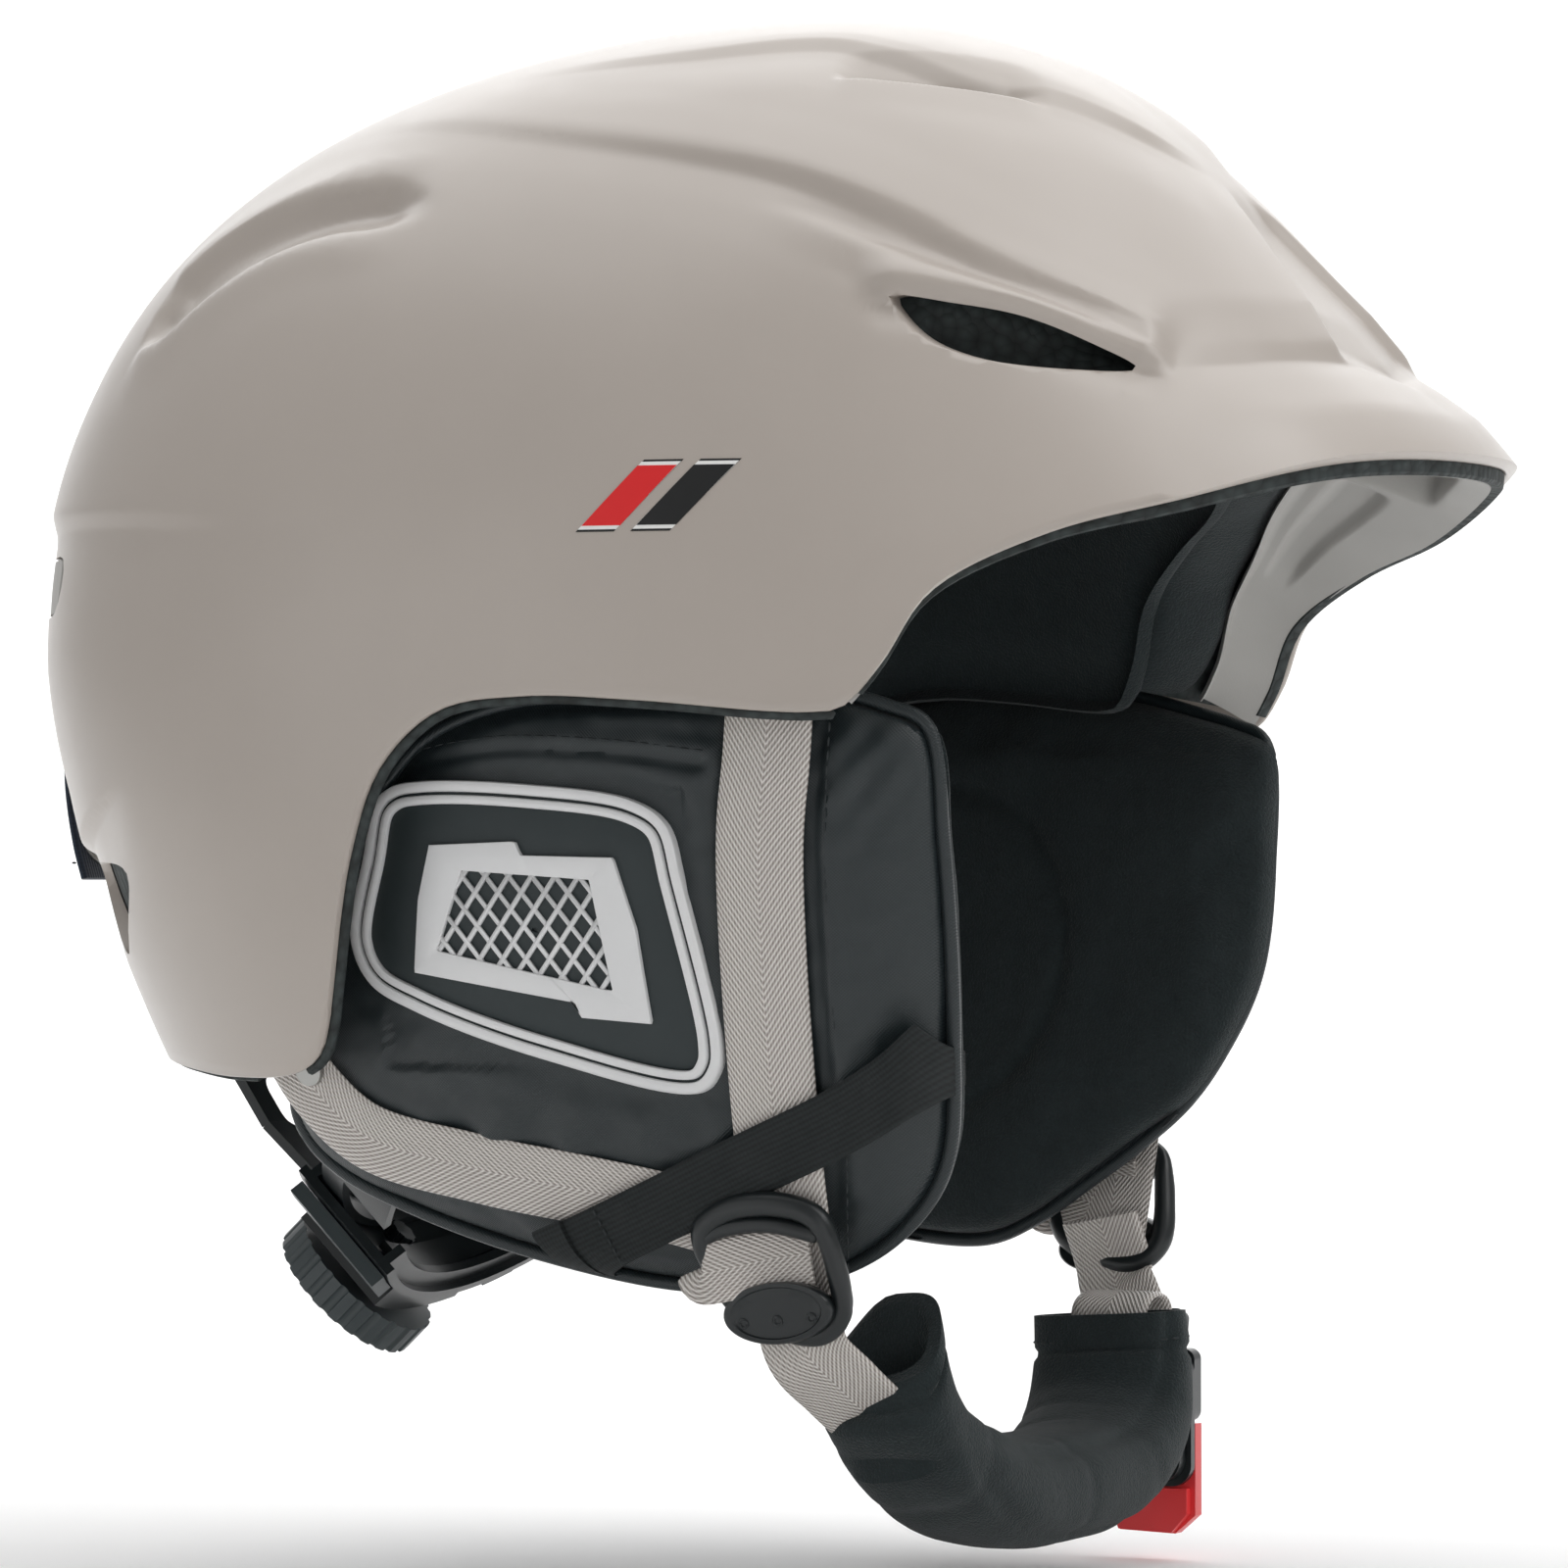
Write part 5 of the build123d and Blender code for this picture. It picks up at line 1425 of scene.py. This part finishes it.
    def _plate(self, name: str, outline: Array, low: float, high: float, finish: Finish,
               nodes: Sequence[str] = (), hole: Array | None = None, round_edge: float = 0.6) -> bpy.types.Object:
        """A moulded plate on the pad, with rounded shoulders and an optional opening.

        Args: name: object name. outline, hole: (n, 2) loops with matching points. low, high: mm
            over the pad. finish, nodes: as for dress and hide_parts. round_edge: mm.
        Returns: the plate.
        """
        out, r = outward(outline), round_edge
        loops = [(outline, low), (outline, high - r), (outline - out * r * 0.3, high - r * 0.3),
                 (outline - out * r, high)]
        if hole is not None:
            loops += [(hole + out * r, high), (hole + out * r * 0.3, high - r * 0.3), (hole, high - r), (hole, low)]
        else:
            mid = outline.mean(0)
            loops += [(mid + (outline - out * r - mid) * k, high) for k in (0.75, 0.5, 0.25, 0.02)]
            loops += [(mid + (outline - mid) * k, low) for k in (0.02, 0.5)]
        v = np.vstack([self._on(yz, h) for yz, h in loops])
        n, m = len(outline), len(loops)
        obj = solid(name, v, quads(m, n, True) + bridge((m - 1) * n, 0, n), crease=38)
        dress(obj, finish)
        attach(obj, "helmet")
        if nodes:
            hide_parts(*nodes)
        return obj

    def badge(self) -> None:
        """The rubber badge: two pale rings, a charcoal panel and a framed diamond lattice."""
        edge = spline(BADGE, 200, True)
        out = outward(edge)
        t, b = self.tag, (lambda d: edge - out * d)
        self._plate(f"badge_ring_outer_{t}", b(0), -0.4, 2.0, WHITE, (f"ear_badge_ring_{t}",), b(2.0))
        self._plate(f"badge_ring_inner_{t}", b(2.5), -0.4, 2.2, WHITE, (), b(4.1))
        self._plate(f"badge_panel_{t}", b(4.0), -0.4, 1.2, RUBBER, (f"ear_badge_panel_{t}",))
        self._plate(f"badge_bed_{t}", b(1.9), -0.6, 0.9, RUBBER, (), b(2.6), 0.1)
        grid = ((22.5, -23.0), (-1.6, -24.6), (-4.4, -43.6), (28.5, -36.8))
        rim = ((28.6, -18.6), (12, -18.0), (11, -20.4), (-6.2, -20.8), (-9.6, -33), (-11.0, -49.2), (2, -48.2),
               (3, -45.6), (33.4, -40.6), (31.5, -28))

        frame_edge, hole = (even(np.array([*shape, shape[0]], float), 160, True) for shape in (rim, grid))
        self._plate(f"badge_frame_{t}", frame_edge, 1.0, 2.2, WHITE, (f"ear_badge_grille_{t}",), hole,
                    0.25)
        bars = linked(f"badge_lattice_{t}", bpy.data.meshes.new("lattice"))
        Trees.run(bars, Trees.lattice(), {"Pitch": 3.5 * MM, "Bar": 0.75 * MM, "Depth": 0.8 * MM, "Reach": 60 * MM,
                                          "Count": 15, "Material": Paint.of(WHITE)})
        p = coords(bars)
        yz = p[:, 1:] + [11.5, -32.5]
        face = 94.6
        place(bars, self._mirror(np.column_stack([-(face + p[:, 0]), yz])))
        wide = np.asarray(grid) + unit(np.asarray(grid) - np.mean(grid, 0)) * 0.8
        trim_to(bars, wide)
        p = coords(bars)
        x = np.abs(p[:, 0]) - face + pad_x(p[:, 1:]) + 1.5
        place(bars, np.column_stack([self.side * x, p[:, 1:]]))
        dress(bars, WHITE)
        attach(bars, "helmet")

    def _strap(self, name: str, line: Outline, width: float, lift: float, thick: float, finish: Finish,
               nodes: Sequence[str] = (), wave: float = 0.0) -> bpy.types.Object:
        """Webbing lying on the pad along a side-view line.

        Args: name: object name. line: (y, z). width, lift, thick: mm. finish, nodes: as for
            dress and hide_parts. wave: how far it lifts off in places.
        Returns: the strap.
        """
        yz = spline(line, 120)
        path = self._on(yz, lift)

        def fit(p: Array) -> Array:
            """Onto the pad, lifting a little in places."""
            off = lift + wave * ripple(np.column_stack([np.zeros(len(p)), p[:, 1:]]), 30, 7)
            yz = p[:, 1:].copy()
            if finish is ELASTIC:
                f = self._share(yz)
                off = off - 12 * (1 - np.sqrt(1 - np.clip((f - 0.9) / 0.12, 0, 1) ** 2))
                yz = PAD_MID + (yz - PAD_MID) * np.minimum(1, 1.02 / f)[:, None]
            return np.column_stack([self.side * (pad_x(yz) + off), yz])

        face = np.tile([self.side * 1.0, 0, 0], (120, 1))
        obj = ribbon(name, path, face, width, thick, fit)
        dress(obj, finish)
        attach(obj, "helmet")
        if nodes:
            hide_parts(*nodes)
        return obj

    def _share(self, yz: Array) -> Array:
        """Each point's share of the way from the pad's middle to its edge."""
        rim, d = spline(self.outline, 360, True) - PAD_MID, yz - PAD_MID
        a = np.arctan2(rim[:, 1], rim[:, 0])
        edge = np.interp(np.arctan2(d[:, 1], d[:, 0]), a, np.hypot(rim[:, 0], rim[:, 1]), period=2 * math.pi)
        return np.hypot(d[:, 0], d[:, 1]) / edge

    def webbing(self) -> None:
        """The two straps, the elastic keeper and its stitched end."""
        t, cutoff = self.tag, 0 if self.side < 0 else 4
        front = tuple((y, max(z, -97 + cutoff)) for y, z in FRONT_STRAP)
        self._strap(f"front_webbing_{t}", front, 15.2, 1.15, 1.3, WEBBING, (f"front_strap_{t}",), 0.12)
        self._strap(f"rear_webbing_{t}", REAR_STRAP, 12.4, 0.95, 1.3, WEBBING, (f"rear_strap_{t}",), 0.15)
        keeper = KEEPER if self.side < 0 else ((-44, -64.8), (-36, -68.6), *KEEPER[3:])
        self._strap(f"keeper_band_{t}", keeper, 11.0, 2.9, 1.4, ELASTIC, (f"strap_keeper_{t}",), 0.1)
        self._strap(f"keeper_end_{t}", KEEPER[-2:], 11.4, 4.0, 1.2, ELASTIC)
        end = np.array(KEEPER[-2:], float)
        way = unit(end[1:] - end[:1])[0]
        across = np.array([-way[1], way[0]])
        bar = [end[0] - way * 7 + across * s for s in np.linspace(-4.4, 4.4, 12)]
        stitches(f"keeper_stitches_{t}", self._on(np.array(bar), 3.75), "helmet", 1.7, THREAD, 0.45)

    def divider(self) -> bpy.types.Object:
        """The moulded divider: a frame with a curved top bar over an oval lower plate."""
        shift = 0.0 if self.side < 0 else 5.0
        loop = spline(((-13, -85), (-19, -80.5), (-30, -79.4), (-37, -82), (-39.6, -91), (-39.4, -99.5), (-35, -103.6),
                       (-27, -102.9), (-19, -98.8), (-15.2, -92.5)), 110, True)
        loop = (loop - [-26.4, -91.5]) * 0.91 + [-28.2, -91.0]

        def lay(yz: Array, lift: float) -> Array:
            """The divider's own plane, over the straps."""
            x = pad_x(np.array([[-27.0, -88.0]])) - 0.34 * (-88 - yz[:, 1]) + lift
            return self._mirror(np.column_stack([-x, yz]) + [0, 0, shift])

        def oval(y: float, z: float, wide: float, high: float, at: Array) -> Array:
            """Points at angles round an oval in side view."""
            return np.column_stack([y + wide * np.cos(at), z + high * np.sin(at)])

        ring = tube(f"divider_frame_{self.tag}", lay(loop, 4.4), 2.2, 14, True, 0.85)
        disc = oval(-29.6, -98.6, 10.2, 5.4, np.linspace(0, FULL, 24, endpoint=False))
        disc[:, 1] -= 0.1 * (disc[:, 0] + 29.6)
        disc = spline(disc, 90, True)
        mid = disc.mean(0)
        rise = ((0.03, 5.0), (0.5, 5.0), (0.96, 5.0), (1.0, 5.5), (1.0, 7.7), (0.96, 8.3), (0.84, 8.5), (0.8, 8.1),
                (0.5, 8.1), (0.03, 8.1))
        layers = [lay(mid + (disc - mid) * k, h) for k, h in rise]
        f = quads(len(layers), 90, True) + [tuple(range(90)), tuple(len(layers) * 90 - 1 - j for j in range(90))]
        plate = solid("divider_plate", np.vstack(layers), f, crease=45)
        top = spline(((-37.6, -85), (-29, -83.4), (-20, -84.4), (-15, -87)), 40)
        bar = tube("divider_bar", lay(top, 4.9), 1.5, 10, False, 0.8)
        pips = []
        for k in (-6.4, 0, 6.4):
            at = np.linspace(0, 6.28, 8, endpoint=False)
            dot = spline(oval(-29.6 + k, -99.9 - 0.1 * k, 0.75, 0.75, at), 12, True)
            pips.append(tube("divider_pip", lay(dot, 8.1), 0.3, 6, True))
        joined([ring, plate, bar, *pips])
        dress(ring, BLACK)
        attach(ring, "helmet")
        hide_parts(f"strap_divider_{self.tag}")
        path = spline(((-15.8, -91.2, 3.2), (-16.6, -91.8, 6.6), (-21, -91.0, 6.3), (-28, -89.4, 4.4),
                       (-35.2, -88.2, 2.9)), 60)
        face = np.tile([self.side * 1.0, 0, 0], (60, 1))
        fold = ribbon(f"divider_fold_{self.tag}", lay(path[:, :2], path[:, 2]), face, 11.2, 1.3)
        dress(fold, WEBBING)
        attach(fold, "helmet")
        return ring


@dataclass
class ChinStrap:
    """The padded chin strap with its webbing and buckle."""

    path: tuple[Point, ...] = ((-57.5, -37, -96.5), (-57, -39, -108), (-50.5, -41, -121), (-30, -43, -131),
                               (0, -43.5, -134), (28, -43.5, -132), (44, -42.5, -124), (48.8, -41.5, -114),
                               (49, -41, -105))
    wide: tuple[float, ...] = (24, 24.5, 26, 27.5, 28, 29, 31, 31.5, 30)
    deep: tuple[float, ...] = (13, 14.5, 18, 20, 20.5, 20, 19, 17.5, 15)
    rows: int = 150
    around: int = 64

    def build(self) -> None:
        """Makes and dresses every piece."""
        self.pad()
        self.webbing()
        for name, finish in (("buckle_tongue", BLACK), ("buckle_base", BLACK), ("buckle_release", RED),
                             ("strap_adjuster", BLACK)):
            dress(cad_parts[name], finish)

    def _section(self, grow: float, count: int, start: float = 0.0, stop: float = 1.0) -> Array:
        """Rings of the sleeve, its surface moved out by grow, from start to stop of its length."""
        n = 170
        line = spline(self.path, n)
        k = np.linspace(start * (n - 1), stop * (n - 1), count)
        at = np.stack([np.interp(k, np.arange(n), line[:, j]) for j in range(3)], 1)
        t = tangents(line)
        t = unit(np.stack([np.interp(k, np.arange(n), t[:, j]) for j in range(3)], 1))
        side = unit(np.array([0, 1.0, 0]) - t * t[:, 1:2])
        out = np.cross(t, side)
        f = k / (n - 1)
        share = np.linspace(0, 1, len(self.wide))
        w, d = np.interp(f, share, self.wide) / 2 + grow, np.interp(f, share, self.deep) / 2 + grow
        a = np.linspace(0, FULL, self.around, endpoint=False)
        c, s = np.cos(a), np.sin(a)
        ring = (w[:, None] * np.sign(c) * np.abs(c) ** 0.72)[:, :, None] * side[:, None] \
            + (d[:, None] * np.sign(s) * np.abs(s) ** 0.85)[:, :, None] * out[:, None]
        return at[:, None] + ring

    @staticmethod
    def _mouth(rings: Array) -> Array:
        """Offsets that drop the right mouth's outer lip below its inner flap, where the webbing enters."""
        share = smooth(-np.linspace(0, 1, len(rings)), -0.2, 0.0)[:, None]
        outer = smooth(-(rings[:, :, 0] - rings.mean(1)[:, None, 0]), -8.0, 7.0)
        back = smooth(rings[:, :, 1] - rings.mean(1)[:, None, 1], -2, 14)
        drop = share * (15.5 * outer + 9 * back * (1 - outer))
        return np.stack([drop * 0.12, drop * -0.1, -drop], -1)

    def pad(self) -> bpy.types.Object:
        """The sewn neoprene sleeve, open at both ends, with folds at its bends."""
        body = self._section(0, self.rows)
        flat = body.reshape(-1, 3)
        out = unit(flat - np.repeat(body.mean(1), self.around, 0))
        run = np.repeat(np.linspace(0, 1, self.rows), self.around)
        fold = np.zeros(len(flat))
        for at, tilt, deep in ((0.17, 0.5, 0.8), (0.26, -0.4, 1.1), (0.72, 0.5, 1.0), (0.8, -0.3, 0.8),
                               (0.5, 0.9, 0.5)):
            over = np.exp(-(((run - at + tilt * 0.002 * (flat[:, 1] + 42)) / 0.016) ** 2))
            fold -= deep * over * (0.5 + 0.5 * np.sin(flat[:, 1] * 0.16 + at * 9))
        seam = -0.9 * np.exp(-((np.abs(flat[:, 1] + 54.5) / 1.2) ** 2))
        hem = -0.9 * np.exp(-(((run - 0.045) / 0.006) ** 2)) - 0.9 * np.exp(-(((run - 0.95) / 0.006) ** 2))
        flat = flat + out * (0.6 * fold + seam + hem + 0.4 * ripple(flat, 26, 3, 2))[:, None]
        body = flat.reshape(body.shape)
        body = body + self._mouth(body)
        into = ((-0.4, -0.0035), (-1.4, -0.0045), (-2.3, 0.0), (-2.6, 0.03), (-3.2, 0.12))
        inner = [self._section(g, 2, s, s + 0.001)[:1] for g, s in into]
        away = ((-0.4, 1.0035), (-1.4, 1.0045), (-2.3, 1.0), (-2.6, 0.97), (-3.2, 0.88))
        tail = [self._section(g, 2, s - 0.001, s)[1:] for g, s in away]
        lead = [r + self._mouth(np.concatenate([r, body[1:]]))[:1] for r in inner[::-1]]
        rows = np.concatenate([*lead, body, *tail])
        n, k = len(rows), self.around
        f = quads(n, k, True) + [tuple(range(k))[::-1], tuple((n - 1) * k + j for j in range(k))]
        obj = solid("chin_sleeve", rows.reshape(-1, 3), f, crease=60)
        puff(obj, 5.5, 3.0, 0.5, lambda p: smooth(-p[:, 2], 112, 120))
        cushion(obj, FLEECE, "chin_right", ("chin_pad",))
        seam_rings = self._section(-0.35, self.rows)
        seam_rings = seam_rings + self._mouth(seam_rings)
        for i, k in enumerate((5, 144)):
            line = seam_rings[k]
            stitches(f"chin_stitches_{i}", np.vstack([line, line[:1]]), "chin_right", 2.4)
        return obj

    def webbing(self) -> None:
        """Herringbone webbing from the dividers to the sleeve and to the buckle."""
        line = spline(((-74.6, -30, -92), (-75.4, -31.0, -99), (-74.2, -32.2, -105.5), (-67.0, -35.4, -112),
                       (-58, -38.5, -118.5), (-50, -41, -124)), 90)
        face = np.tile([-0.75, 0, 0.2], (90, 1)) + np.array([0, -0.1, -0.35])
        ribbon_r = ribbon("chin_webbing_right", line, face, 15.2, 1.3)
        dress(ribbon_r, WEBBING)
        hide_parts("chin_strap_right")
        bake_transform(ribbon_r)
        line = spline(((72.6, -30, -88.5), (75.8, -31.4, -96.5), (75.4, -32.4, -100.8), (72.1, -34.8, -103.6),
                       (69.2, -37.6, -107.6)), 60)
        ribbon_l = ribbon("chin_webbing_left", line, np.tile([0.9, 0, -0.2], (60, 1)), 15.0, 1.3)
        dress(ribbon_l, WEBBING)
        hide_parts("chin_strap_left")
        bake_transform(ribbon_l)
        line = spline(((48.9, -41, -111), (48.9, -41, -104.5), (52, -41.2, -102.2), (58, -41.4, -102.2),
                       (60.7, -41.6, -104.6), (60.7, -42, -115)), 60)
        face = np.column_stack([np.linspace(-1, 1, 60), np.zeros(60), np.sin(np.linspace(0, math.pi, 60))])
        loop = ribbon("buckle_webbing", line, face, 15.0, 1.3)
        dress(loop, WEBBING)
        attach(loop, "chin_right")
        line = spline(((68.6, -38.8, -109.5), (67.2, -40.4, -113.5), (66.2, -41.4, -117)), 24)
        tail = ribbon("adjuster_webbing", line, np.tile([0.97, 0, -0.2], (24, 1)), 13.0, 1.2)
        dress(tail, WEBBING)
        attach(tail, "chin_left")


@dataclass
class FitSystem:
    """The dial at the nape and its cradle."""

    def build(self) -> None:
        """Gives each moulded piece its plastic and the screw its steel."""
        for name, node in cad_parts.items():
            if name.startswith("fit_"):
                dress(node, STEEL if "screw" in name else DIAL if ("dial" in name or "clip" in name) else BLACK)


@dataclass
class GoggleRetainer:
    """The elastic loop at the back that holds a goggle strap."""

    def build(self) -> None:
        """Makes the woven loop and dresses its anchor and snap."""
        path = spline(((0, 138.6, 31.2), (0, 141.8, 29.2), (0, 144.8, 22), (0, 147.6, 8), (0, 148.0, -6),
                       (0, 146.2, -18), (0, 144.4, -24.4)), 80)
        band = ribbon("retainer_band", path, np.tile([0, 1.0, 0.1], (80, 1)), 16.0, 1.5)
        dress(band, NAVY)
        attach(band, "goggle_retainer")
        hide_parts("goggle_strap")
        for name in ("goggle_strap_snap", "goggle_strap_stud"):
            dress(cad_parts[name], STEEL)
        line = np.array([[x, 145.6, -21.4] for x in np.linspace(-6.4, 6.4, 14)])
        stitches("retainer_stitches", line + [0, 1.35, 0], "goggle_retainer", 2.2)


# ------------------------------------------------------------------ studio
@dataclass
class Studio:
    """A plain pale sweep, soft lights and the camera."""

    azimuth: float = -67.0
    elevation: float = -1.0
    distance: float = 1.4
    lens: float = 176.4
    floor_z: float = -152.0
    reach: float = 3600.0
    curve: float = 700.0
    wall_top: float = 3400.0

    def build(self) -> None:
        """Makes the stage, lights and camera."""
        self.sweep()
        self.lights()
        self.camera()
        scene = bpy.context.scene
        scene.view_settings.view_transform = "Standard"

    def _frame(self) -> tuple[Vector, Vector]:
        """Unit vectors from the object to the camera and to the right in the camera's view."""
        a, e = math.radians(self.azimuth), math.radians(self.elevation)
        back = Vector((math.sin(a) * math.cos(e), -math.cos(a) * math.cos(e), math.sin(e)))
        return back, Vector((math.cos(a), math.sin(a), 0))

    def sweep(self) -> None:
        """A floor curving up into a wall, far enough back that no view of the helmet is taken from behind it."""
        back, right = self._frame()
        flat = Vector((back.x, back.y, 0)).normalized()
        start, r = -(self.reach - self.curve), self.curve
        path = [(self.reach, 0)]
        path += [(start - r * math.sin(t), r - r * math.cos(t)) for t in np.linspace(0, math.pi / 2, 14)]
        path += [(-self.reach, self.wall_top)]
        v = [flat * d + right * s * self.reach + Vector((0, 0, self.floor_z + z)) for d, z in path for s in (-1, 1)]
        f = [(2 * i, 2 * i + 1, 2 * i + 3, 2 * i + 2) for i in range(len(path) - 1)]
        mesh = bpy.data.meshes.new("sweep")
        mesh.from_pydata([p * MM for p in v], [], f)
        obj = finish_mesh("sweep", mesh, 60)
        dress(obj, BACKDROP)
        obj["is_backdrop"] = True

    def _area(self, name: str, at: Point, size: float, watts: float, tall: float | None = None,
              target: Point = (0, 0, 0)) -> None:
        """A soft rectangular white light aimed at target, both in (right, up, towards camera) mm; unseen itself."""
        back, right = self._frame()
        lamp = bpy.data.lights.new(name, "AREA")
        lamp.shape, lamp.size, lamp.size_y, lamp.energy = "RECTANGLE", size, tall or size, watts
        obj = linked(name, lamp)
        spot, aim = ((right * p[0] + Vector((0, 0, p[1])) + back * p[2]) * MM for p in (at, target))
        obj.location = spot
        obj.rotation_euler = (spot - aim).to_track_quat("Z", "Y").to_euler()
        obj.visible_camera = False

    def lights(self) -> None:
        """A broad key from the front right, a fill from the left, two lights for the wall and an even sky."""
        self._area("key", (1000, 1000, 500), 1.0, 6.6)
        self._area("top", (300, 1500, 0), 1.3, 2.4)
        self._area("fill", (-1300, 200, 900), 1.2, 2.2)
        self._area("low", (500, -60, 1300), 0.9, 1.5)
        self._area("back_wall", (0, 900, -300), 1.6, 10)
        self._area("wall_wash", (0, 1700, -1900), 3.2, 62, 1.6, (0, 100, -3500))
        world = bpy.data.worlds.new("sky")
        world.use_nodes = True
        world.node_tree.nodes.clear()
        sky = add_node(world.node_tree, "ShaderNodeBackground", {"Color": srgb("#ffffff"), "Strength": 0.35})
        add_node(world.node_tree, "ShaderNodeOutputWorld", None, {0: sky.outputs[0]})
        bpy.context.scene.world = world

    def camera(self) -> None:
        """A long lens level with the ears, from the front right."""
        back, _ = self._frame()
        cam = bpy.data.cameras.new("camera")
        cam.lens, cam.sensor_width = self.lens, 36.0
        cam.shift_x, cam.shift_y = -0.0125, -0.025
        cam.clip_start, cam.clip_end = 0.05, 30
        obj = linked("camera", cam)
        obj.location = back * self.distance
        obj.rotation_mode = "QUATERNION"
        obj.rotation_quaternion = (-back).to_track_quat("-Z", "Y")
        bpy.context.scene.camera = obj


ASSEMBLIES = (Shell(), Lining(), EarPad(-1), EarPad(1), ChinStrap(), FitSystem(), GoggleRetainer(), Studio())


def sizes(note: str) -> dict[str, list[float]]:
    """The shown object's size now, logged and returned."""
    low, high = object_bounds()
    LOG.info("%s size %s mm", note, [round((b - a) / MM, 1) for a, b in zip(low, high)])
    return {"low_mm": [round(v / MM, 2) for v in low], "high_mm": [round(v / MM, 2) for v in high]}


def main() -> None:
    """Builds every assembly in order."""
    logging.basicConfig(level=logging.INFO, format="%(message)s")
    before = sizes("CAD")
    for part in ASSEMBLIES:
        LOG.info("building %s", part.__class__.__name__)
        part.build()
    after = sizes("looks")


if __name__ == "__main__":
    main()
